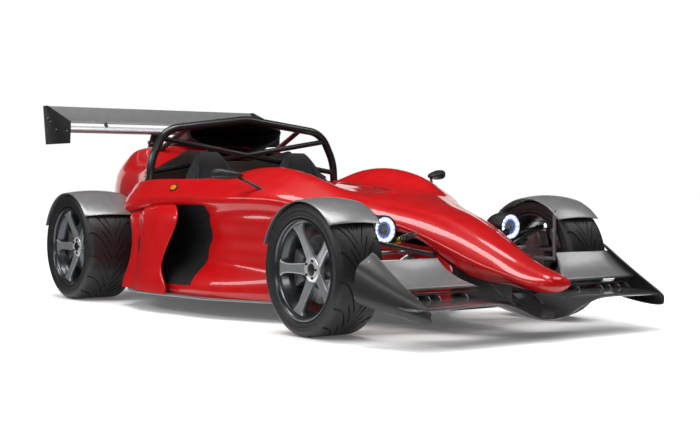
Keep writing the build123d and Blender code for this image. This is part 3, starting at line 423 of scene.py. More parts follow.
nose = {
    "stations": [  # x from the front axle, (half width, z) of the foot, side and edge, then the ridge's z
        (-0.310, (0.395, 0.470), (0.425, 0.545), (0.290, 0.635), 0.662),
        (-0.190, (0.318, 0.478), (0.356, 0.535), (0.232, 0.610), 0.636),
        (-0.080, (0.262, 0.480), (0.300, 0.525), (0.182, 0.586), 0.610),
        (0.040, (0.236, 0.458), (0.262, 0.497), (0.150, 0.562), 0.583),
        (0.150, (0.218, 0.415), (0.240, 0.460), (0.126, 0.531), 0.552),
        (0.260, (0.190, 0.345), (0.220, 0.415), (0.110, 0.490), 0.511),
        (0.370, (0.140, 0.275), (0.192, 0.362), (0.094, 0.442), 0.463),
        (0.480, (0.106, 0.254), (0.165, 0.322), (0.080, 0.394), 0.414),
        (0.590, (0.086, 0.246), (0.140, 0.297), (0.067, 0.346), 0.363),
        (0.690, (0.080, 0.230), (0.130, 0.272), (0.070, 0.315), 0.331),
        (0.752, (0.073, 0.226), (0.117, 0.262), (0.064, 0.299), 0.313),
        (0.788, (0.060, 0.228), (0.100, 0.258), (0.055, 0.286), 0.298),
        (0.810, (0.038, 0.236), (0.070, 0.257), (0.038, 0.274), 0.284),
    ],
    "crown": [(0.42, 0.10), (0.75, 0.38)],  # shares of the edge's half width and of its fall
    "flank": [1 / 3, 2 / 3], "swell": 0.12, "underSwell": (0.006, -0.004),
    "tip": (frontX + 0.818, 0, 0.258), "gap": 0.003, "thickness": 0.006, "belly": 0.010, "bellyShare": 0.6,
    "openBehind": frontX - 0.05, "openBelow": 0.475, "openFlat": 0.7,  # where the belly is open
}


def noseRow(along, foot, side, edge, ridge):  # a station's half section, from the ridge to the foot
    (sideY, sideZ), (edgeY, edgeZ) = side, edge
    crown = [(across * edgeY, ridge - down * (ridge - edgeZ)) for across, down in nose["crown"]]
    swell = Vector((edgeZ - sideZ, sideY - edgeY)) * nose["swell"]
    flank = [tuple(Vector(edge).lerp(Vector(side), share) + swell) for share in nose["flank"]]
    under = tuple(Vector(side).lerp(Vector(foot), 0.5) + Vector(nose["underSwell"]))
    return frontX + along, [(0, ridge)] + crown + [edge] + flank + [side, under, foot]


noseRows = [noseRow(*station) for station in nose["stations"]]
cageRows = []
for x, half in noseRows:
    lowY, lowZ = half[-1]
    share = nose["bellyShare"]
    belly = [(share * lowY, lowZ - share * nose["belly"]), (0, lowZ - nose["belly"])]
    cageRows.append([(x, -y, z) for y, z in half + belly])
cageRows[0] = [(x + nose["gap"] / 2, y, z) for x, y, z in cageRows[0]]
cageRows = pushedOut(cageRows)
cageRows.append([Vector(nose["tip"])] * len(cageRows[0]))
for row in cageRows:
    row[0].y = row[-1].y = 0
noseSkin = cleaned(mirrored(layGrid("nose_skin", cageRows)), 0.0002)
deleteFaces(noseSkin, lambda face: face.center.x < nose["openBehind"] and face.center.z < nose["openBelow"]
            and face.normal.z * face.normal.z > nose["openFlat"])
subdivided(noseSkin, 3)
cleaned(noseSkin)
facing(noseSkin, (0.2, 0, 1))
thickened(noseSkin, nose["thickness"], paint, blackPlastic)
dressed(noseSkin, None, ["nose"], 60)

shell = {
    "front": [  # over the scuttle: centre, valley, hump, rim line, crease, then the ribbed flank to the sill
        (frontX - 0.395, [(0, 0.671), (0.12, 0.667), (0.225, 0.660), (0.318, 0.656), (0.385, 0.636),
            (0.435, 0.610), (0.470, 0.575), (0.450, 0.545), (0.420, 0.500), (0.400, 0.450), (0.390, 0.400),
            (0.385, 0.340), (0.385, 0.280), (0.390, 0.220), (0.390, 0.160), (0.390, 0.112)]),
        (frontX - 0.430, [(0, 0.674), (0.12, 0.670), (0.222, 0.668), (0.330, 0.675), (0.405, 0.648),
            (0.460, 0.622), (0.500, 0.590), (0.496, 0.555), (0.486, 0.520), (0.490, 0.475), (0.478, 0.410),
            (0.490, 0.335), (0.485, 0.270), (0.505, 0.215), (0.515, 0.165), (0.510, 0.112)]),
        (frontX - 0.540, [(0, 0.688), (0.125, 0.684), (0.230, 0.688), (0.342, 0.728), (0.432, 0.694),
            (0.504, 0.658), (0.560, 0.618), (0.556, 0.580), (0.540, 0.542), (0.552, 0.494), (0.536, 0.421),
            (0.556, 0.341), (0.548, 0.276), (0.572, 0.219), (0.585, 0.165), (0.580, 0.112)]),
        (frontX - 0.660, [(0, 0.700), (0.13, 0.696), (0.235, 0.705), (0.350, 0.772), (0.455, 0.735),
            (0.540, 0.692), (0.608, 0.640), (0.603, 0.600), (0.585, 0.560), (0.605, 0.508), (0.588, 0.430),
            (0.612, 0.345), (0.602, 0.280), (0.632, 0.222), (0.650, 0.165), (0.645, 0.112)]),
        (frontX - 0.850, [(0, 0.711), (0.13, 0.708), (0.225, 0.725), (0.355, 0.806), (0.468, 0.765),
            (0.566, 0.716), (0.652, 0.645), (0.647, 0.603), (0.628, 0.560), (0.650, 0.506), (0.628, 0.432),
            (0.655, 0.352), (0.645, 0.288), (0.685, 0.228), (0.715, 0.165), (0.710, 0.112)]),
        (frontX - 1.010, [(0, 0.718), (0.13, 0.716), (0.222, 0.733), (0.357, 0.812), (0.478, 0.778),
            (0.585, 0.736), (0.688, 0.645), (0.684, 0.600), (0.660, 0.556), (0.672, 0.503), (0.650, 0.430),
            (0.682, 0.357), (0.675, 0.290), (0.730, 0.235), (0.770, 0.165), (0.765, 0.112)]),
        (frontX - 1.180, [(0, 0.720), (0.13, 0.718), (0.220, 0.730), (0.357, 0.795), (0.480, 0.770),
            (0.605, 0.738), (0.702, 0.645), (0.698, 0.600), (0.662, 0.552), (0.662, 0.500), (0.636, 0.428),
            (0.668, 0.360), (0.672, 0.292), (0.742, 0.232), (0.785, 0.165), (0.780, 0.112)]),
        (frontX - 1.285, [(0, 0.716), (0.13, 0.714), (0.215, 0.722), (0.352, 0.752), (0.480, 0.748),
            (0.618, 0.738), (0.708, 0.645), (0.702, 0.600), (0.645, 0.545), (0.640, 0.490), (0.620, 0.420),
            (0.650, 0.362), (0.662, 0.292), (0.745, 0.230), (0.792, 0.160), (0.790, 0.112)]),
    ],
    "beside": [  # beside the cockpit: x, rim (y, z), then crease to sill
        (frontX - 1.310, (0.640, 0.738), [(0.710, 0.645), (0.702, 0.600), (0.640, 0.543), (0.634, 0.488),
            (0.616, 0.418), (0.645, 0.362), (0.658, 0.292), (0.745, 0.230), (0.793, 0.160), (0.790, 0.112)]),
        (rearX + 1.000, (0.655, 0.738), [(0.716, 0.645), (0.708, 0.595), (0.634, 0.538), (0.624, 0.480),
            (0.613, 0.410), (0.632, 0.358), (0.650, 0.292), (0.742, 0.230), (0.793, 0.160), (0.790, 0.112)]),
        (rearX + 0.810, (0.674, 0.738), [(0.728, 0.642), (0.720, 0.585), (0.632, 0.530), (0.618, 0.470),
            (0.612, 0.400), (0.622, 0.350), (0.640, 0.290), (0.735, 0.230), (0.785, 0.160), (0.780, 0.112)]),
        (rearX + 0.680, (0.688, 0.734), [(0.738, 0.632), (0.729, 0.566), (0.626, 0.520), (0.616, 0.465),
            (0.611, 0.410), (0.620, 0.355), (0.638, 0.290), (0.725, 0.230), (0.770, 0.160), (0.768, 0.112)]),
        (rearX + 0.560, (0.680, 0.724), [(0.736, 0.622), (0.729, 0.556), (0.622, 0.508), (0.614, 0.460),
            (0.610, 0.420), (0.618, 0.360), (0.635, 0.290), (0.710, 0.230), (0.752, 0.160), (0.750, 0.112)]),
        (rearX + 0.470, (0.660, 0.702), [(0.724, 0.612), (0.719, 0.550), (0.612, 0.504), (0.604, 0.460),
            (0.600, 0.420), (0.605, 0.360), (0.618, 0.290), (0.675, 0.230), (0.712, 0.162), (0.708, 0.112)]),
        (rearX + 0.415, (0.640, 0.676), [(0.700, 0.606), (0.697, 0.556), (0.594, 0.508), (0.590, 0.460),
            (0.588, 0.420), (0.592, 0.360), (0.600, 0.290), (0.640, 0.230), (0.665, 0.165), (0.660, 0.112)]),
        (rearX + 0.388, (0.622, 0.650), [(0.668, 0.608), (0.666, 0.574), (0.566, 0.522), (0.552, 0.460),
            (0.550, 0.420), (0.550, 0.360), (0.550, 0.290), (0.560, 0.230), (0.565, 0.165), (0.560, 0.112)]),
        (rearX + 0.380, (0.606, 0.634), [(0.626, 0.612), (0.620, 0.598), (0.550, 0.545), (0.540, 0.460),
            (0.540, 0.420), (0.540, 0.360), (0.540, 0.290), (0.545, 0.230), (0.545, 0.165), (0.540, 0.112)]),
    ],
    "wallTop": 0.602, "wallFoot": 0.470, "wallGap": 0.030,
    "wallRise": [(0.001, 0.160), (0.003, 0.085), (0.008, 0.035)],  # out from the wall, down from the rim
    "lipOut": 0.45, "lipDown": 0.006, "swell": 0.16, "thickness": 0.006,
    "footY": 0.385, "footZ": 0.450, "footStep": 0.056, "footPoints": 7,  # the first row, under the nose
    "corner": {3: 0.005, 4: -0.020, 5: -0.075}, "cornerBehind": -0.080,  # the cockpit corner's shifts in x
    "shadedIntakeRows": range(7, 13), "shadedIntakeColumns": range(8, 15),  # the flank inside the side intake, painted black: painted shade of the deep intake mouth
    "cockpitSide": 0.60, "noseEnd": frontX - 0.39, "noseFoot": 0.468, "darkWithin": 0.618, "steep": 0.6,
    "middle": 0.002,  # points nearer than this lie on the middle plane
}
firstX, firstHalf = noseRows[0]
foot = [(shell["footY"], shell["footZ"] - shell["footStep"] * i) for i in range(shell["footPoints"])]
shellRows = [[(firstX - nose["gap"] / 2, -y, z) for y, z in firstHalf + foot]]
for x, half in shell["front"]:
    shellRows.append([(x, -y, z) for y, z in half])
for x, (rimY, rimZ), half in shell["beside"]:
    wallY = min(shell["wallTop"], rimY - shell["wallGap"])
    inner = [(wallY, shell["wallFoot"])] + [(wallY + out, rimZ - down) for out, down in shell["wallRise"]]
    inner.append((wallY + shell["lipOut"] * (rimY - wallY), rimZ - shell["lipDown"]))
    shellRows.append([(x, -y, z) for y, z in inner + [(rimY, rimZ)] + half])
cornerRow = len(shell["front"])
behind = {i: shell["cornerBehind"] for i in range(6)}
for row, shifts in ((cornerRow, shell["corner"]), (cornerRow + 1, behind)):
    for column, shift in shifts.items():
        x, y, z = shellRows[row][column]
        shellRows[row][column] = (x + shift, y, z)
for i, row in enumerate(shellRows):  # one more line of points rounds the shoulder between rim and crease
    rim, crease = Vector(row[5]), Vector(row[6])
    out = Vector((0, crease.z - rim.z, crease.y - rim.y)) * (-shell["swell"] if i else 0.0)
    row.insert(6, tuple((rim + crease) / 2 + out))
bodyShell = painted(layGrid("body_shell", spread(shellRows)), paint, blackPlastic)
# painted shade: the faces inside the side intake take the black finish in place of the shaded intake mouth
for face in bodyShell.data.polygons:
    row, column = divmod(min(face.vertices), len(shellRows[0]))
    if row in shell["shadedIntakeRows"] and column in shell["shadedIntakeColumns"]:
        face.material_index = 1
edgeFront, edgeBack = shell["front"][-1][0], shell["beside"][0][0]


def leftOpen(face):  # the cockpit, and the room for the suspension under the nose's end
    x, y, z = face.center
    inCockpit = edgeBack < x < edgeFront and y > -shell["cockpitSide"]
    return inCockpit or (x > shell["noseEnd"] and z < shell["noseFoot"])


deleteFaces(bodyShell, leftOpen)
for vertex in bodyShell.data.vertices:
    if abs(vertex.co.y) < shell["middle"]:
        vertex.co.y = 0
mirrored(bodyShell)
subdivided(bodyShell, 3)
facing(bodyShell, (0, 0, 1))
applied(bodyShell, "SOLIDIFY", thickness=shell["thickness"], offset=-1.0, material_offset=1)
for face in bodyShell.data.polygons:  # the cockpit's inner walls are dark
    place, normal = face.center, face.normal
    inwards = place.y * normal.y < 0 and abs(normal.y) > shell["steep"]
    if inwards and place.x < edgeFront and abs(place.y) < shell["darkWithin"]:
        face.material_index = 1
dressed(bodyShell, None, ["scuttle", "side_panel_right", "side_panel_left"], 60)
print("body skins done")


# wheels: profiles as (radius, distance inboard of the outer lip), turned about the axle

def ringPoint(hub, radius, inboard, turn):  # turn 0 is up, growing forwards
    return Vector((hub.x + radius * math.sin(turn), hub.y + inboard, hub.z + radius * math.cos(turn)))


def turnedRing(name, hub, profile, steps):
    rows = [[ringPoint(hub, radius, inboard, 2 * math.pi * i / steps) for radius, inboard in profile]
            for i in range(steps + 1)]
    return cleaned(layGrid(name, rows))


wheel = {
    "barrelOuter": [(0.241, 0.0), (0.2415, 0.006), (0.238, 0.013), (0.229, 0.018), (0.227, 0.034),
                    (0.212, 0.050), (0.204, 0.075)],
    "barrelFar": [(0.204, 0.075), (0.227, 0.034), (0.229, 0.018), (0.238, 0.013), (0.241, 0.006),
                  (0.241, 0.0), (0.233, 0.0), (0.222, 0.020), (0.197, 0.060)],  # measured from the inner lip
    "barrelInner": [(0.197, 0.078), (0.205, 0.052), (0.219, 0.036), (0.2205, 0.022), (0.2265, 0.017),
                    (0.228, 0.005), (0.233, 0.0)],
    "spokes": [  # radius, depth, width, thickness
        (0.040, 0.059, 0.064, 0.034), (0.066, 0.056, 0.062, 0.032), (0.100, 0.048, 0.054, 0.029),
        (0.145, 0.037, 0.049, 0.027), (0.178, 0.029, 0.051, 0.026), (0.198, 0.024, 0.060, 0.028),
        (0.210, 0.0215, 0.078, 0.030), (0.2205, 0.020, 0.104, 0.032),
    ],
    "spokeFront": [(-0.50, 0.010), (-0.46, 0.002), (-0.34, 0.0), (0.0, 0.0015), (0.34, 0.0), (0.46, 0.002),
                   (0.50, 0.010)],  # share of the width, depth below the face
    "spokeBack": [0.40, -0.40],
    "hubFace": [(0.0, 0.050), (0.016, 0.0505), (0.023, 0.0525), (0.026, 0.0575), (0.029, 0.0575),
                (0.030, 0.0545), (0.054, 0.0540), (0.057, 0.0560), (0.062, 0.060), (0.068, 0.067),
                (0.071, 0.086), (0.030, 0.088)],
    "count": 5, "firstTurn": math.radians(54), "steps": 88, "hubSteps": 48,
    "capReach": 0.028, "faceReach": 0.060,  # radii where the hub's finish changes
    "nutCircle": 0.042, "nutRadius": 0.0070, "nutHeight": 0.010, "nutDepth": 0.0515, "nutEdge": 0.0015,
    "discEdge": 0.0015,
}


def rimPiece(name, hub, width):
    far = [(radius, width - back) for radius, back in wheel["barrelFar"]]
    barrel = wheel["barrelOuter"] + far + wheel["barrelInner"]
    pieces = [painted(turnedRing(name, hub, barrel + barrel[:1], wheel["steps"]), rimDark)]
    for i in range(wheel["count"]):
        turn = wheel["firstTurn"] + 2 * math.pi * i / wheel["count"]
        radial = Vector((math.sin(turn), 0, math.cos(turn)))
        along = Vector((math.cos(turn), 0, -math.sin(turn)))
        rings = []
        for radius, depth, across, thick in wheel["spokes"]:
            section = wheel["spokeFront"] + [(share, thick) for share in wheel["spokeBack"]]
            rings.append([hub + radial * radius + along * share * across + Vector((0, depth + sink, 0))
                          for share, sink in section])
        pieces.append(painted(subdivided(layTube(f"{name}_spoke{i}", rings)), gunmetal))
    hubPiece = turnedRing(name + "_hub", hub, wheel["hubFace"], wheel["hubSteps"])
    painted(hubPiece, gunmetal, polishedAndHighlight, blackPlastic)
    for face in hubPiece.data.polygons:
        reach = math.hypot(face.center.x - hub.x, face.center.z - hub.z)
        face.material_index = 2 if reach < wheel["capReach"] else 1 if reach < wheel["faceReach"] else 0
    pieces.append(hubPiece)
    for i in range(wheel["count"]):
        turn = wheel["firstTurn"] + 2 * math.pi * (i + 0.5) / wheel["count"]
        place = ringPoint(hub, wheel["nutCircle"], wheel["nutDepth"], turn)
        bpy.ops.object.select_all(action="DESELECT")
        bpy.ops.mesh.primitive_cylinder_add(vertices=6, radius=wheel["nutRadius"], depth=wheel["nutHeight"])
        nut = bevelled(nameIt(bpy.context.object, f"{name}_nut{i}"), wheel["nutEdge"])
        movedTo(nut, Matrix.Translation(place) @ Matrix.Rotation(math.radians(90), 4, "X"))
        pieces.append(painted(nut, blackSteel))
    return joined(name, *pieces)


tread = {
    "side": [(0.2283, 0.014), (0.243, 0.010), (0.245, 0.001), (0.2515, -0.0025), (0.2535, -0.0028),
             (0.2545, -0.0050), (0.2575, -0.0052), (0.2585, -0.0042), (0.269, -0.0085)],
    "upperSide": [(0.034, -0.0086), (0.031, -0.0090), (0.0295, -0.0103), (0.0265, -0.0100), (0.025, -0.0080),
                  (0.018, -0.0055), (0.010, 0.0005), (0.0042, 0.008), (0.0012, 0.018)],  # down from the crown
    "across": [-0.84, -0.68, -0.52, -0.36, -0.22, -0.10, 0.0, 0.10, 0.22, 0.36, 0.52, 0.68, 0.84],
    "shoulder": 0.018, "pitches": 15, "phases": [0.0, 0.11, 0.30, 0.5, 0.61, 0.80],
    "lead": 0.58, "leadPower": 1.7, "depth": 0.006, "groove": 0.0010,
}


def tyrePiece(name, hub, width, radius):
    middle, reach = width / 2, width / 2 - tread["shoulder"]
    near = tread["side"] + [(radius - down, inboard) for down, inboard in tread["upperSide"]]
    crown = [(radius, middle + share * reach) for share in tread["across"]]
    profile = near + crown + [(r, width - inboard) for r, inboard in reversed(near)]
    first, last = len(near), len(near) + len(crown)
    leads = [tread["lead"] * (1 - abs(share)) ** tread["leadPower"] for share in tread["across"]]
    offsets = [0.0] * first + leads + [0.0] * first
    turns = [2 * math.pi * (k + phase) / tread["pitches"] for k in range(tread["pitches"])
             for phase in tread["phases"]] + [2 * math.pi]
    rows = [[ringPoint(hub, r, inboard, turn + shift) for (r, inboard), shift in zip(profile, offsets)]
            for turn in turns]
    tyre = layGrid(name, rows)
    probe = tyre.data.polygons[first + 4]  # a face on the crown
    if probe.normal.dot(Vector((probe.center.x - hub.x, 0, probe.center.z - hub.z))) < 0:
        turnedOver(tyre)
    centre = first + len(crown) // 2
    grooves = {  # phase of the row: columns of a long groove on one side and of a short one on the other
        0: [*range(first - 3, centre - 1), *range(centre + 1, last - 3)],
        3: [*range(centre + 1, last + 2), *range(first + 2, centre - 1)],
    }

    def inGroove(face):
        row, column = divmod(min(face.vertices), len(profile))
        return column in grooves.get(row % len(tread["phases"]), ())

    selectFaces(tyre, inGroove)
    with editing(tyre, False):
        bpy.ops.mesh.inset(thickness=tread["groove"], depth=-tread["depth"], use_boundary=True)
    return cleaned(tyre)


for corner, hub, width in (("front", frontHub, frontRimWidth), ("rear", rearHub, rearRimWidth)):
    tyreLow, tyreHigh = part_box(f"tyre_{corner}_right")
    rim = rimPiece(f"rim_{corner}_right_finished", hub, width)
    tyre = tyrePiece(f"tyre_{corner}_right_finished", hub, width, (tyreHigh.z - tyreLow.z) / 2)
    painted(tyre, rubber)
    for piece, kind, slotName in ((rim, "rim", "gunmetal"), (tyre, "tyre", "tyre")):
        left = flippedSide(piece, f"{kind}_{corner}_left_finished")
        for side, one in (("right", piece), ("left", left)):
            dressed(one, None, [f"{kind}_{corner}_{side}"], 38, f"wheel_{corner}_{side}")
    for side in ("right", "left"):
        disc = bevelled(nodeCopy(f"brake_disc_{corner}_{side}"), wheel["discEdge"])
        dressed(disc, steel, [f"brake_disc_{corner}_{side}"], body=f"wheel_{corner}_{side}")
print("wheels done")

# intake fins: z, x of the front and rear edge, half widths at the front, the middle and the rear

fin = {
    "levels": [
        (0.112, -0.215, -0.860, 0.848, 0.853, 0.790), (0.165, -0.218, -0.850, 0.846, 0.850, 0.785),
        (0.228, -0.300, -0.800, 0.836, 0.842, 0.778), (0.320, -0.288, -0.758, 0.822, 0.836, 0.775),
        (0.430, -0.226, -0.778, 0.800, 0.830, 0.757), (0.510, -0.188, -0.840, 0.786, 0.815, 0.738),
        (0.556, -0.212, -0.880, 0.774, 0.800, 0.722), (0.584, -0.262, -0.880, 0.752, 0.772, 0.704),
        (0.598, -0.335, -0.872, 0.722, 0.734, 0.682), (0.600, -0.400, -0.865, 0.676, 0.686, 0.650),
    ],
    "along": [0.0, 0.07, 0.20, 0.38, 0.54, 0.65, 0.72, 0.79, 0.90, 1.0], "thickness": 0.012,
    "valley": 0.72, "valleyWidth": 0.085, "valleyDepth": 0.034, "fall": 0.050, "top": 0.6,
    "frontEdge": [(0.016, 0.020), (0.001, 0.008)],  # back from the edge, inwards
    "rearEdge": [(0.028, 0.045), (0.040, 0.120)],
}
finRows = []
for z, front, rear, frontY, middleY, rearY in fin["levels"]:
    row = [(front - back, -frontY + inwards, z) for back, inwards in fin["frontEdge"]]
    for share in fin["along"]:
        wide = (frontY * (1 - share) * (1 - 2 * share) + middleY * 4 * share * (1 - share)
                + rearY * share * (2 * share - 1))
        wide -= fin["valleyDepth"] * math.exp(-((share - fin["valley"]) / fin["valleyWidth"]) ** 2)
        down = fin["fall"] * share ** 2 * (z / fin["top"]) ** 3
        row.append((front + (rear - front) * share, -wide, z - down))
    last = row[-1][2]
    row += [(rear - back, -rearY + inwards, last) for back, inwards in fin["rearEdge"]]
    finRows.append(row)
intakeFin = layGrid("intake_fins_finished", finRows)
subdivided(intakeFin, 3)
facing(intakeFin, (0, -1, 0))
thickened(intakeFin, fin["thickness"], paint, blackPlastic)
intakeFins = joined("intake_fins_finished", intakeFin, flippedSide(intakeFin, "intake_fin_left"))
dressed(intakeFins, None, ["intake_fins"], 60)

# engine cover: x, then half width and z from the foot over the shoulder and ridge to the centre

cover = {
    "rows": [
        (rearX + 0.578, [(0.650, 0.640), (0.654, 0.690), (0.648, 0.742), (0.585, 0.795), (0.478, 0.853),
            (0.366, 0.900), (0.190, 0.908), (0.0, 0.908)]),
        (rearX + 0.500, [(0.616, 0.615), (0.622, 0.680), (0.618, 0.748), (0.560, 0.810), (0.468, 0.870),
            (0.366, 0.914), (0.190, 0.922), (0.0, 0.922)]),
        (rearX + 0.330, [(0.540, 0.575), (0.546, 0.670), (0.540, 0.760), (0.498, 0.830), (0.438, 0.898),
            (0.360, 0.940), (0.180, 0.947), (0.0, 0.947)]),
        (rearX + 0.130, [(0.522, 0.572), (0.530, 0.675), (0.516, 0.776), (0.474, 0.843), (0.416, 0.908),
            (0.345, 0.944), (0.150, 0.950), (0.0, 0.950)]),
        (rearX - 0.060, [(0.500, 0.572), (0.506, 0.680), (0.486, 0.784), (0.446, 0.846), (0.396, 0.906),
            (0.330, 0.938), (0.150, 0.944), (0.0, 0.944)]),
        (rearX - 0.180, [(0.458, 0.585), (0.462, 0.680), (0.446, 0.773), (0.406, 0.832), (0.360, 0.882),
            (0.300, 0.910), (0.150, 0.916), (0.0, 0.916)]),
        (rearX - 0.260, [(0.420, 0.602), (0.424, 0.680), (0.410, 0.762), (0.374, 0.810), (0.330, 0.856),
            (0.272, 0.880), (0.145, 0.887), (0.0, 0.887)]),
        (rearX - 0.343, [(0.385, 0.632), (0.388, 0.685), (0.374, 0.736), (0.340, 0.772), (0.300, 0.804),
            (0.246, 0.824), (0.130, 0.828), (0.0, 0.827)]),
    ],
    "thickness": 0.006, "airboxEnd": rearX + 0.13, "airboxSide": 0.12,
}
coverRows = pushedOut([[(x, -y, z) for y, z in half] for x, half in cover["rows"]])
for row in coverRows:
    row[-1].y = 0
engineCover = layGrid("engine_cover_finished", coverRows)
deleteFaces(engineCover, lambda face: face.center.x > cover["airboxEnd"]
            and abs(face.center.y) < cover["airboxSide"])  # room for the airbox
mirrored(engineCover)
subdivided(engineCover, 3)
facing(engineCover, (0, 0, 1))
thickened(engineCover, cover["thickness"], paint, blackPlastic)
dressed(engineCover, None, ["engine_cover"], 60)
print("fins and cover done")

# wings: sections as a lead and a trail point, a thickness and a hollow

wingShape = [  # share of the chord, share of the half thickness
    (0.0, 0.0), (0.012, 0.30), (0.05, 0.58), (0.14, 0.86), (0.30, 1.0), (0.52, 0.86),
    (0.76, 0.50), (1.0, 0.06),
]


def wingLoop(y, lead, trail, thickness, hollow):
    lead, trail = Vector((lead[0], y, lead[1])), Vector((trail[0], y, trail[1]))
    up = (trail - lead).cross(Vector((0, 1, 0))).normalized()
    up = up if up.z > 0 else -up

    def at(share, half):
        return lead.lerp(trail, share) + up * (thickness / 2 * half - hollow * 4 * share * (1 - share))

    under = [at(share, -half) for share, half in reversed(wingShape[1:])]
    return [at(share, half) for share, half in wingShape] + under


frontPlane = {
    "lead": frontX + 0.780, "trail": frontX + 0.480, "thickness": 0.022, "hollow": 0.010,
    "rows": [(0.795, 0.172, 0.205), (0.640, 0.180, 0.210), (0.480, 0.184, 0.212), (0.380, 0.185, 0.213),
             (0.300, 0.180, 0.210), (0.240, 0.164, 0.201), (0.180, 0.141, 0.187), (0.110, 0.110, 0.170),
             (0.050, 0.097, 0.162), (0.0, 0.094, 0.160)],
    "strut": [(0.598, 0.155), (0.626, 0.155), (0.394, 0.287), (0.364, 0.287)], "strutY": 0.085,
    "strutHalf": 0.004, "strutEdge": 0.0015,
    "fence": [(0.492, 0.203), (0.602, 0.198), (0.586, 0.217), (0.562, 0.224), (0.492, 0.232)],
    "fences": (0.36, 0.52, 0.58, 0.645, 0.71), "fenceHalf": 0.003, "slotEdge": 0.001,
    "blade": [(0.508, 0.227), (0.566, 0.222), (0.563, 0.230), (0.510, 0.237)], "bladeFrom": 0.262,
    "bladeTo": 0.735,
}
spanRows = [(-y, low, high) for y, low, high in frontPlane["rows"]]
spanRows += [(y, low, high) for y, low, high in reversed(frontPlane["rows"][:-1])]
wingMain = subdivided(layTube("front_wing_main_finished", [
    wingLoop(y, (frontPlane["lead"], low), (frontPlane["trail"], high), frontPlane["thickness"],
             frontPlane["hollow"]) for y, low, high in spanRows]))
strut, fence, blade = [[(frontX + dx, z) for dx, z in frontPlane[key]] for key in ("strut", "fence", "blade")]
plates = []
for side in (-1, 1):
    y, half = side * frontPlane["strutY"], frontPlane["strutHalf"]
    plates.append(plateAcross(f"front_strut{side}", strut, y - half, y + half, frontPlane["strutEdge"]))
    half = frontPlane["fenceHalf"]
    for y in frontPlane["fences"]:  # small plates in the slot under the flaps
        plates.append(plateAcross(f"slot_fence{side}_{y}", fence, side * y - half, side * y + half,
                                  frontPlane["slotEdge"]))
    plates.append(plateAcross(f"slot_blade{side}", blade, side * frontPlane["bladeFrom"],
                              side * frontPlane["bladeTo"], frontPlane["slotEdge"]))
wingMain = joined("front_wing_main_finished", wingMain, *plates)
dressed(wingMain, glossCarbon, ["front_wing_main"], 50)

endplate = {
    "rows": [  # x, then (half width, z) from the skid foot over the bulge to the top edge
        (frontX + 0.792, [(0.738, 0.126), (0.741, 0.132), (0.744, 0.140), (0.745, 0.150), (0.744, 0.160),
            (0.743, 0.166), (0.742, 0.172)]),
        (frontX + 0.760, [(0.737, 0.119), (0.745, 0.126), (0.751, 0.138), (0.753, 0.156), (0.750, 0.174),
            (0.747, 0.185), (0.742, 0.196)]),
        (frontX + 0.690, [(0.737, 0.122), (0.752, 0.131), (0.764, 0.146), (0.769, 0.175), (0.763, 0.205),
            (0.753, 0.220), (0.743, 0.234)]),
        (frontX + 0.620, [(0.738, 0.129), (0.763, 0.139), (0.780, 0.156), (0.788, 0.198), (0.778, 0.240),
            (0.762, 0.257), (0.744, 0.273)]),
        (frontX + 0.550, [(0.741, 0.138), (0.777, 0.148), (0.800, 0.168), (0.807, 0.220), (0.794, 0.273),
            (0.768, 0.294), (0.744, 0.315)]),
        (frontX + 0.480, [(0.750, 0.149), (0.794, 0.160), (0.820, 0.182), (0.826, 0.246), (0.810, 0.312),
            (0.772, 0.334), (0.744, 0.358)]),
        (frontX + 0.420, [(0.772, 0.164), (0.812, 0.174), (0.838, 0.196), (0.840, 0.268), (0.824, 0.345),
            (0.774, 0.368), (0.743, 0.398)]),
        (frontX + 0.388, [(0.790, 0.174), (0.824, 0.184), (0.845, 0.205), (0.845, 0.282), (0.829, 0.360),
            (0.774, 0.382), (0.742, 0.417)]),
    ],
    "thickness": 0.008, "edge": 0.0015,
}
plateRows = [[(x, -y, z) for y, z in half] for x, half in endplate["rows"]]
frontPlate = subdivided(layGrid("front_wing_endplates_finished", plateRows))
facing(frontPlate, (0, -1, 0))
thickened(frontPlate, endplate["thickness"])
bevelled(frontPlate, endplate["edge"], angle=50)
frontPlates = joined("front_wing_endplates_finished", frontPlate, flippedSide(frontPlate, "front_plate_left"))
dressed(frontPlates, plateCarbon, ["front_wing_endplates"], 50)

rearWing = {
    "bolts": [(-1.7525, 1.056), (-1.5885, 1.044), (-1.8875, 1.135), (-1.8465, 1.111)],
    "boltRadius": 0.0075, "boltHeight": 0.005, "edge": 0.0015,
    "highlightBelow": 1.095, "highlightFacing": -0.3,  # the lower plane, but for its underside: its upper faces take the polished finish as a painted highlight
    "clip": [(-1.820, 1.100), (-1.795, 1.075), (-1.770, 1.085), (-1.795, 1.118)], "clipY": 0.42,
    "clipHalf": 0.005,
}
_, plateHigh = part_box("rear_wing_endplates")
rearPlates = painted(bevelled(nodeCopy("rear_wing_endplates"), rearWing["edge"]), plateCarbon)
bolts = []
for side in (-1, 1):
    for x, z in rearWing["bolts"]:
        bolt = boltHead(f"wing_bolt{side}_{x}", (x, side * plateHigh.y, z), (0, side, 0),
                        rearWing["boltRadius"], rearWing["boltHeight"])
        bolts.append(painted(bolt, steel))
rearPlates = joined("rear_wing_endplates_finished", rearPlates, *bolts)
dressed(rearPlates, None, ["rear_wing_endplates"], 40)

rearPlanes = painted(nodeCopy("rear_wing_planes"), carbon, polishedAndHighlight)
# painted highlight: the lower plane's upper faces get the bright finish for the strip of top light they
# reflect
for face in rearPlanes.data.polygons:
    if face.center.z < rearWing["highlightBelow"] and face.normal.z > rearWing["highlightFacing"]:
        face.material_index = 1
clips = []
for y in (-rearWing["clipY"], rearWing["clipY"]):  # clips across the slot between the planes
    clip = plateAcross(f"wing_clip{y}", rearWing["clip"], y - rearWing["clipHalf"], y + rearWing["clipHalf"],
                       rearWing["edge"])
    clips.append(painted(clip, blackSteel))
rearPlanes = joined("rear_wing_planes_finished", rearPlanes, *clips)
dressed(rearPlanes, None, ["rear_wing_planes"], 32)

# seats: x ahead of the rear axle and z round the outline seen from the side, half width, bolster height

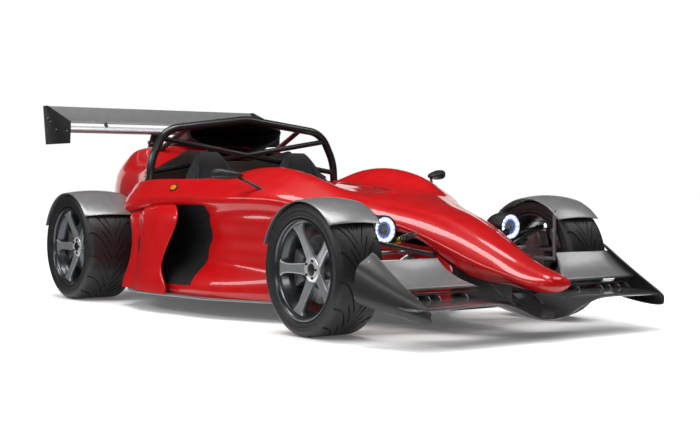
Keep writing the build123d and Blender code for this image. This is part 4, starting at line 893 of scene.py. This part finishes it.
seat = {
    "outline": [  # up from the front edge
        (1.306, 0.170, 0.195, 0.010), (1.309, 0.205, 0.200, 0.025), (1.290, 0.226, 0.204, 0.040),
        (1.200, 0.220, 0.208, 0.058), (1.196, 0.213, 0.208, 0.060), (1.192, 0.219, 0.208, 0.060),
        (1.090, 0.206, 0.210, 0.080), (1.086, 0.199, 0.210, 0.082), (1.082, 0.205, 0.210, 0.084),
        (0.985, 0.200, 0.212, 0.120), (0.940, 0.225, 0.213, 0.150), (0.916, 0.300, 0.214, 0.140),
        (0.897, 0.380, 0.214, 0.120), (0.886, 0.385, 0.214, 0.120), (0.894, 0.392, 0.214, 0.118),
        (0.868, 0.500, 0.213, 0.100), (0.857, 0.505, 0.213, 0.099), (0.865, 0.512, 0.213, 0.098),
        (0.842, 0.620, 0.206, 0.075), (0.820, 0.700, 0.190, 0.055), (0.804, 0.752, 0.162, 0.034),
        (0.795, 0.785, 0.140, 0.022), (0.790, 0.830, 0.112, 0.012), (0.778, 0.876, 0.080, 0.004),
        (0.758, 0.903, 0.060, 0.0), (0.728, 0.903, 0.058, 0.0), (0.714, 0.880, 0.074, 0.0),
        (0.728, 0.800, 0.128, 0.0), (0.742, 0.730, 0.174, 0.0), (0.760, 0.640, 0.200, 0.0),
        (0.800, 0.430, 0.210, 0.0), (0.845, 0.200, 0.208, 0.0), (0.880, 0.140, 0.200, 0.0),
        (1.000, 0.138, 0.195, 0.0), (1.200, 0.142, 0.192, 0.0),
    ],
    "across": [(-1.0, 0.55), (-0.93, 1.0), (-0.78, 0.72), (-0.62, 0.14), (-0.30, 0.02), (0.0, 0.0),
               (0.30, 0.02), (0.62, 0.14), (0.78, 0.72), (0.93, 1.0), (1.0, 0.55)],  # width, bolster
    "middle": 0.315,
}


def seatPiece(name, middle):
    outline = seat["outline"]
    rings = []
    for share, lift in seat["across"]:
        ring = []
        for i, (ahead, z, half, bolster) in enumerate(outline):
            before, after = outline[i - 1], outline[(i + 1) % len(outline)]
            run = Vector((after[0] - before[0], 0, after[1] - before[1])).normalized()
            out = Vector((abs(run.z), 0, abs(run.x)))  # forwards on the back, upwards on the cushion
            ring.append(Vector((rearX + ahead, middle + share * half, z)) + out * bolster * lift)
        rings.append(ring)
    return subdivided(layTube(name, rings))


for side, label in ((-1, "right"), (1, "left")):
    seatOne = seatPiece(f"seat_{label}", side * seat["middle"])
    dressed(seatOne, seatCloth, ["seats"], 60)
print("wings and seats done")

# headlamps: a pod, a ring of diodes round a projector, and a domed glass

lensLow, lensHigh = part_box("headlamp_lenses")
lens = (lensHigh.z - lensLow.z) / 2  # radii of the lens, the glowing ring, the projector and a diode
glow, eye, bead = 0.034, 0.023, 0.0074
lamp = {
    "place": (lensLow.x, lensHigh.y - lens, (lensLow.z + lensHigh.z) / 2),
    "diodes": 14, "diodeCircle": 0.050, "diodeAhead": 0.0052, "edge": 0.002,
    "bowl": [(0.0, 0.0005), (lens - 0.004, 0.001), (lens - 0.0015, 0.010), (lens - 0.0005, 0.010),
             (lens - 0.0005, -0.001), (0.0, -0.001)],
    "diode": [(0.0, bead * 0.6), (bead * 0.55, bead * 0.5), (bead * 0.9, bead * 0.2), (bead, -0.001),
              (0.0, -0.001)],
    "ring": [(glow - 0.004, 0.0), (glow - 0.003, 0.0045), (glow, 0.0055), (glow + 0.003, 0.0045),
             (glow + 0.004, 0.0), (glow - 0.004, 0.0)],
    "halo": [(glow + 0.005, 0.002), (glow + 0.006, 0.0045), (lens - 0.005, 0.0060), (lens - 0.002, 0.0105),
             (lens - 0.0015, 0.009), (lens - 0.0015, 0.002), (glow + 0.005, 0.002)],
    "dome": [(0.0, 0.009), (eye * 0.5, 0.0078), (eye * 0.85, 0.0045), (eye, 0.001), (eye, -0.001),
             (0.0, -0.001)],
    "glass": [(0.0, 0.0165), (lens * 0.4, 0.0155), (lens * 0.75, 0.0135), (lens - 0.001, 0.0110),
              (lens - 0.001, 0.0095), (lens * 0.75, 0.0115), (lens * 0.4, 0.0135), (0.0, 0.0145)],
}
pods = painted(bevelled(nodeCopy("headlamp_pods"), lamp["edge"], 3), blackPlastic)
inside, glasses = [], []
for side in (-1, 1):
    x, y, z = lamp["place"]
    place = Vector((x, side * y, z))
    turns = [2 * math.pi * i / lamp["diodes"] for i in range(lamp["diodes"])]
    circle = [place + Vector((lamp["diodeAhead"], math.sin(turn) * lamp["diodeCircle"],
                              math.cos(turn) * lamp["diodeCircle"])) for turn in turns]
    for part, spots, steps, material, group in (
            ("bowl", [place], 48, rimDark, inside), ("diode", circle, 10, whiteGlow, inside),
            ("ring", [place], 40, blueGlow, inside), ("halo", [place], 56, paleGlow, inside),
            ("dome", [place], 32, blackSteel, inside), ("glass", [place], 48, lensGlass, glasses)):
        for i, spot in enumerate(spots):
            piece = spunPiece(f"lamp_{part}{side}_{i}", spot, (1, 0, 0), lamp[part], steps)
            group.append(painted(piece, material))
dressed(joined("headlamp_pods_finished", pods, *inside), None, ["headlamp_pods"], 40)
dressed(joined("headlamp_lenses_finished", *glasses), None, ["headlamp_lenses"], 60)

# mirrors: rings of a rounded pod from its glass to its front, and a bent stalk

mirror = {
    "place": (frontX - 0.885, 0.715, 0.768),
    "stations": [(-0.027, 0.136, 0.052), (-0.027, 0.150, 0.064), (-0.020, 0.156, 0.068),
                 (0.004, 0.154, 0.066), (0.022, 0.136, 0.056), (0.034, 0.102, 0.040), (0.040, 0.055, 0.022)],
    "glass": [(0.0285, 0.132, 0.048), (0.0297, 0.130, 0.046)],
    "stalk": [(0.0, -0.050, -0.020), (0.045, -0.082, -0.040), (0.095, -0.118, -0.070),
              (0.150, -0.158, -0.108)],
    "stalkRadii": [0.009, 0.0075, 0.0075, 0.014], "points": 20, "power": 3.2,
    "half": 0.078, "height": 0.92, "taper": 0.55, "droop": 0.012, "sweep": 0.055,
}
mirrorX, mirrorY, mirrorZ = mirror["place"]


def mirrorRing(x, width, height):
    ring = []
    for i in range(mirror["points"]):
        turn = 2 * math.pi * i / mirror["points"]
        sides = math.cos(turn), math.sin(turn)
        across, up = [math.copysign(abs(value) ** (2 / mirror["power"]), value) for value in sides]
        ring.append((x, -mirrorY + across * width / 2, mirrorZ + up * height / 2))
    return ring


mirrorPod = layTube("mirror_pod", [mirrorRing(mirrorX + dx, *size) for dx, *size in mirror["stations"]])
painted(subdivided(mirrorPod), plateCarbon)
mirrorFace = layTube("mirror_face", [mirrorRing(mirrorX - dx, *size) for dx, *size in mirror["glass"]])
painted(mirrorFace, mirrorGlass)
stalkPath = [(mirrorX + dx, -mirrorY - dy, mirrorZ + dz) for dx, dy, dz in mirror["stalk"]]
mirrorStalk = tubeAlong("mirror_stalk", stalkPath, mirror["stalkRadii"])
painted(subdivided(mirrorStalk, 1), plateCarbon)
for piece in (mirrorPod, mirrorFace):  # the pod narrows and droops towards the car
    for vertex in piece.data.vertices:
        share = max(0.0, vertex.co.y + mirrorY + mirror["half"]) / (2 * mirror["half"])
        tall = mirror["height"] - mirror["taper"] * share ** 2
        vertex.co.z = mirrorZ + (vertex.co.z - mirrorZ) * tall - mirror["droop"] * share
        vertex.co.x += mirror["sweep"] * (share - 0.5)
mirrorRight = joined("mirrors_finished", mirrorPod, mirrorFace, mirrorStalk)
mirrors = joined("mirrors_finished", mirrorRight, flippedSide(mirrorRight, "mirror_left"))
dressed(mirrors, None, ["mirrors"], 40)
print("lamps and mirrors done")

# tub: red at the footbox, a heat shield on the firewall, dark inside

tubFinish = {"edge": 0.002, "footbox": frontX - 0.62, "sideways": 0.6, "firewall": rearX + 0.62,
             "forwards": 0.5}
tub = painted(bevelled(nodeCopy("tub"), tubFinish["edge"]), plateCarbon, paint, shieldCarbon)
for face in tub.data.polygons:
    if face.center.x > tubFinish["footbox"] and abs(face.normal.y) > tubFinish["sideways"]:
        face.material_index = 1
    elif face.center.x < tubFinish["firewall"] and face.normal.x > tubFinish["forwards"]:
        face.material_index = 2
dressed(tub, None, ["tub"])


# trim: lamps, screws, slots and dampers, set on the skins by a ray

def onSkin(piece, start, aim):  # where a ray meets a finished skin, and the way the skin faces there
    met, place, normal, _ = piece.ray_cast(Vector(start), Vector(aim).normalized())
    return (place, normal) if met else (Vector(start), -Vector(aim).normalized())


bulb = 0.019  # radius of a side repeater
repeater = {
    "x": -0.405, "z": 0.690, "outside": 1.2, "longer": 1.8, "steps": 28,
    "bezel": [(bulb, -0.004), (bulb + 0.004, -0.003), (bulb + 0.004, 0.003), (bulb, 0.005),
              (bulb - 0.002, 0.004), (bulb - 0.002, -0.004), (bulb, -0.004)],
    "dome": [(0.0, 0.010), (bulb * 0.5, 0.009), (bulb * 0.85, 0.006), (bulb - 0.001, 0.001),
             (bulb - 0.001, -0.004), (0.0, -0.004)],
}
amberLamps = []
for side in (-1, 1):
    start = (repeater["x"], side * repeater["outside"], repeater["z"])
    place, normal = onSkin(bodyShell, start, (0, -side, 0))
    stretch = Matrix.Diagonal((repeater["longer"], 1, 1, 1))
    longer = Matrix.Translation(place) @ stretch @ Matrix.Translation(-place)
    for part, material in (("bezel", blackPlastic), ("dome", amber)):
        piece = spunPiece(f"repeater_{part}{side}", place, normal, repeater[part], repeater["steps"])
        amberLamps.append(painted(movedTo(piece, longer), material))
dressed(joined("side_repeaters", *amberLamps), angle=40)

screw = {"places": [(1.313, 0.405), (1.544, 0.330), (1.040, 0.500), (0.860, 0.520)], "outside": 1.0,
         "radius": 0.0065, "height": 0.0025}
screws = []
for x, z in screw["places"]:
    for side in (-1, 1):
        place, normal = onSkin(noseSkin, (x, side * screw["outside"], z), (0, -side, 0))
        head = boltHead(f"nose_screw{x}_{side}", place, normal, screw["radius"], screw["height"])
        screws.append(painted(head, blackSteel))
dressed(joined("nose_screws", *screws), angle=40)

slot = {
    "lines": [(0.120, 0.080, 0.330, 0.080), (0.470, 0.050, 0.690, 0.030), (0.470, -0.050, 0.690, -0.030)],
    "shares": [0.0, 0.08, 0.3, 0.5, 0.7, 0.92, 1.0], "above": 1.5, "sunk": 0.0015, "points": 10,
    "radii": [0.0015, 0.004, 0.005, 0.005, 0.005, 0.004, 0.0015],
}
slots = []
for x0, y0, x1, y1 in slot["lines"]:
    path = []
    for share in slot["shares"]:
        above = (x0 + (x1 - x0) * share, y0 + (y1 - y0) * share, slot["above"])
        spot, _ = onSkin(bodyShell, above, (0, 0, -1))
        path.append(spot - Vector((0, 0, slot["sunk"])))
    line = tubeAlong(f"scuttle_slot{x0}_{y0}", path, slot["radii"], slot["points"])
    slots.append(painted(line, blackPlastic))
dressed(joined("scuttle_slots", *slots), angle=60)

damper = {
    "low": (1.140, 0.345, 0.424), "high": (1.285, 0.300, 0.476), "edge": 0.001,
    "body": [0.0, 0.004, 0.062, 0.066], "bodyRadii": [0.013, 0.0165, 0.0165, 0.013],
    "shaft": 0.060, "shaftRadius": 0.006,
    "coils": 7, "firstCoil": 0.072, "coilPitch": 0.011, "coilRadius": 0.0155, "wire": 0.003,
}
wireTurns = [math.radians(60 * k) for k in range(7)]
wire = [(damper["coilRadius"] + damper["wire"] * math.cos(turn), damper["wire"] * math.sin(turn))
        for turn in wireTurns]
dampers = []
for side in (-1, 1):
    low, high = [Vector((x, side * y, z)) for x, y, z in (damper["low"], damper["high"])]
    run = (high - low).normalized()
    path = [low + run * along for along in damper["body"]]
    body = tubeAlong(f"damper_body{side}", path, damper["bodyRadii"], 20)
    path = [low + run * damper["shaft"], high]
    shaft = tubeAlong(f"damper_shaft{side}", path, [damper["shaftRadius"]] * 2, 14)
    dampers += [painted(bevelled(body, damper["edge"]), gold), painted(shaft, bright)]
    for i in range(damper["coils"]):
        middle = low + run * (damper["firstCoil"] + damper["coilPitch"] * i)
        dampers.append(painted(spunPiece(f"damper_coil{side}_{i}", middle, run, wire, 22), blackSteel))
dressed(joined("front_dampers", *dampers), angle=40)

clamp = {
    "outline": [(-1, -0.012), (1, -0.012), (1.2, 0.0), (1, 0.012), (-1, 0.012), (-1.2, 0.0)],
    "levels": [(0.945, 0.026, gold), (0.985, 0.022, bright)],  # z, half width, material
    "x": -1.735, "y": 0.12, "half": 0.016, "edge": 0.002,
}
clamps = []
for side in (-1, 1):
    ends = [side * clamp["y"] + shift for shift in (-clamp["half"], clamp["half"])]
    for z, wide, material in clamp["levels"]:
        outline = [(clamp["x"] + dx * wide, z + dz) for dx, dz in clamp["outline"]]
        piece = plateAcross(f"wing_clamp{side}_{z}", outline, *ends, clamp["edge"])
        clamps.append(painted(piece, material))
dressed(joined("wing_clamps", *clamps), angle=40)

lid = {"rows": [(0.575, 0.846), (0.40, 0.856), (0.20, 0.866)], "across": [-0.34, -0.17, 0.0, 0.17, 0.34],
       "thickness": 0.004}
bayLid = layGrid("engine_bay_lid", [[(rearX + dx, y, z) for y in lid["across"]] for dx, z in lid["rows"]])
facing(bayLid, (0, 0, 1))
thickened(bayLid, lid["thickness"])
dressed(bayLid, shieldCarbon, angle=40)

outlet = {"x": rearX - 0.262, "foot": 0.610, "inset": 0.004, "levels": 5, "thickness": 0.003}
_, outletHalf = cover["rows"][-2]  # the mesh follows the cover's section there
outletTop = [(-y + outlet["inset"], z - outlet["inset"]) for y, z in outletHalf[1:]]
outletTop += [(-y, z) for y, z in reversed(outletTop[:-1])]
outletMesh = layGrid("rear_outlet_mesh", [
    [(outlet["x"], y, outlet["foot"] + (z - outlet["foot"]) * i / outlet["levels"]) for y, z in outletTop]
    for i in range(outlet["levels"] + 1)])
facing(outletMesh, (-1, 0, 0))
thickened(outletMesh, outlet["thickness"])
dressed(outletMesh, coreMesh, angle=40)

dressed(nodeCopy("side_radiators"), coreMesh, ["side_radiators"])
print("trim done")

# pieces whose packed form is right: edges rounded, seams merged, a finish of their own

plainPieces = [  # slot, material, rounded edge, nodes
    ("carbon", carbon, 0.0015, "undertray"),
    ("carbon", blackPlastic, 0.002, "airbox"),
    ("carbon", plateCarbon, 0.002, "dashboard"),
    ("carbon", carbon, 0.001, "diffuser"),
    ("carbon", carbon, 0.0015, "front_wing_flaps"),
    ("carbon", carbon, 0.0012, "fender_front_right", "fender_front_left", "fenders_rear"),
    ("black_steel", blackSteel, 0.0, "roll_hoop", "front_wishbones", "rear_wishbones"),
    ("black_steel", blackSteel, 0.0015, "rear_wing_pylons"),
    ("silver", steel, 0.001, "steering_rack"),
    ("silver", castMetal, 0.004, "engine", "gearbox"),
    ("silver", castMetal, 0.002, "uprights_rear", "upright_front_right", "upright_front_left"),
    ("silver", steel, 0.001, "front_pushrods"),
    ("steel", steel, 0.001, "driveshafts", "exhaust"),
    ("trim", grip, 0.001, "steering_wheel"),
    ("lamp_red", redLens, 0.002, "rain_lamp"),
]
plainBodies = {  # the others ride on the chassis
    "fender_front_right": "steer_right", "fender_front_left": "steer_left",
    "upright_front_right": "steer_right", "upright_front_left": "steer_left",
    "steering_rack": "steering_rack", "steering_wheel": "steering_wheel",
}
for slotName, material, edge, *nodeNames in plainPieces:
    for node in nodeNames:
        piece = nodeCopy(node)
        if edge:
            bevelled(piece, edge, angle=40)
        dressed(piece, material, [node], 32, plainBodies.get(node, "chassis"))
print("plain pieces done")

# camera, floor and light

camera = {"place": (6.1351, -4.2872, 0.7220), "yaw": 143.495, "pitch": -1.6143, "lens": 67.48, "sensor": 36.0,
          "far": 200}
bpy.ops.object.select_all(action="DESELECT")
yaw, pitch = math.radians(camera["yaw"]), math.radians(camera["pitch"])
ahead = Vector((math.cos(yaw) * math.cos(pitch), math.sin(yaw) * math.cos(pitch), math.sin(pitch)))
bpy.ops.object.camera_add(location=camera["place"])
viewCamera = bpy.context.object
viewCamera.rotation_mode = "QUATERNION"
viewCamera.rotation_quaternion = ahead.to_track_quat("-Z", "Y")
viewCamera.data.lens = camera["lens"]
viewCamera.data.sensor_width = camera["sensor"]
viewCamera.data.clip_end = camera["far"]
bpy.context.scene.camera = viewCamera



def seenRays(nodes, links):  # 1 where the camera, a shiny surface or glass looks at the background
    rays = nodes.new("ShaderNodeLightPath")
    seen = rays.outputs["Is Camera Ray"]
    for kind in ("Is Glossy Ray", "Is Transmission Ray"):
        seen = combined(nodes, links, "MAXIMUM", seen, rays.outputs[kind])
    return seen


floor = {"size": 60.0, "albedo": 0.80, "glowOpen": 0.84, "paintedShadowGlow": 0.08, "reach": 1.0, "darkest": 0.2}
bpy.ops.mesh.primitive_plane_add(size=floor["size"], location=(0, 0, 0))
studioFloor = nameIt(bpy.context.object, "studio_floor")
floorMaterial, nodes, links, shader = startMaterial("paleFloor")
colourOut, _ = speckle(nodes, links, 2.0, grey(floor["albedo"] - 0.01), grey(floor["albedo"]))
links.new(colourOut, shader.inputs["Base Color"])
setInputs(shader, {"Roughness": 0.6, "Specular IOR Level": 0.1, "Emission Color": (1, 1, 1, 1)})
shadowOcclusion = addNode(nodes, "AmbientOcclusion", {"Distance": floor["reach"]})  # painted shadow: the glow fades under the car by ambient occlusion, on top of the lamps' real shadow
paintedShadowFade = addNode(nodes, "MapRange", {"From Min": floor["darkest"], "To Min": floor["paintedShadowGlow"],
                                   "To Max": floor["glowOpen"]})
links.new(shadowOcclusion.outputs["AO"], paintedShadowFade.inputs["Value"])
level = combined(nodes, links, "MULTIPLY", seenRays(nodes, links), paintedShadowFade.outputs["Result"])
links.new(level, shader.inputs["Emission Strength"])
studioFloor.data.materials.append(floorMaterial)

sky = {"fill": 0.20, "seen": 1.0}
world = bpy.data.worlds.new("studioWorld")
bpy.context.scene.world = world
world.use_nodes = True
nodes, links = world.node_tree.nodes, world.node_tree.links
background = nodes["Background"]
setInputs(background, {"Color": (1, 1, 1, 1)})
level = addNode(nodes, "MapRange", {"To Min": sky["fill"], "To Max": sky["seen"]})
links.new(seenRays(nodes, links), level.inputs["Value"])
links.new(level.outputs["Result"], background.inputs["Strength"])

# dark flags round the studio, seen only in reflections, give the sides their depth
flags = {"radius": 7.5, "foot": 0.02, "sill": 2.2, "top": 7.0, "open": (105, 190), "floorOpen": (2.5, 1.45)}


def bearing(place):  # degrees round the car, from its nose towards its left
    return math.degrees(math.atan2(place.y, place.x)) % 360


hungFlags = []
for label, low, high in (("low", flags["foot"], flags["sill"]), ("high", flags["sill"], flags["top"])):
    bpy.ops.object.select_all(action="DESELECT")
    bpy.ops.mesh.primitive_cylinder_add(vertices=72, radius=flags["radius"], depth=high - low,
                                        location=(0, 0, (low + high) / 2))
    flag = nameIt(bpy.context.object, f"studio_flag_{label}")
    if label == "low":  # no caps, and open to the white behind the car's left
        deleteFaces(flag, lambda face: abs(face.normal.z) > 0.5
                    or flags["open"][0] < bearing(face.center) < flags["open"][1])
    else:
        deleteFaces(flag, lambda face: face.normal.z < -0.5)
    hungFlags.append(flag)
floorFlag = cleaned(layGrid("studio_flag_floor", [  # a ring, open round the car
    [(reachX * math.cos(math.radians(5 * i)), reachY * math.sin(math.radians(5 * i)), flags["foot"])
     for reachX, reachY in (flags["floorOpen"], (flags["radius"], flags["radius"]))] for i in range(73)]))
for flag in hungFlags + [floorFlag]:
    flag.visible_camera = flag.visible_diffuse = False
    flag.visible_shadow = flag.visible_transmission = False
    flag.data.materials.append(finishMaterial(flag.name + "_cloth", (0.03, 0.03, 0.03), 0.9, scale=2.0))

softboxes = [  # place, what it looks at, size, watts
    ((0.4, -0.4, 5.0), (0, 0, 0.4), (5.0, 1.6), 210),
    ((-0.2, -5.6, 3.4), (0.0, 0, 0.5), (8.0, 0.9), 150),
    ((5.5, -2.5, 3.0), (0.8, 0, 0.4), (2.0, 1.2), 40),
    ((2.5, 4.0, 4.6), (0.8, 0, 0.4), (3.0, 2.0), 60),
]
for i, (place, target, size, watts) in enumerate(softboxes):
    bpy.ops.object.light_add(type="AREA", location=place)
    box = bpy.context.object
    box.name = f"softbox_{i}"
    box.data.shape = "RECTANGLE"
    box.data.size, box.data.size_y = size
    box.data.energy = watts
    box.rotation_mode = "QUATERNION"
    box.rotation_quaternion = (Vector(target) - Vector(place)).to_track_quat("-Z", "Y")
bpy.context.scene.view_settings.view_transform = "Standard"
print("studio ready")
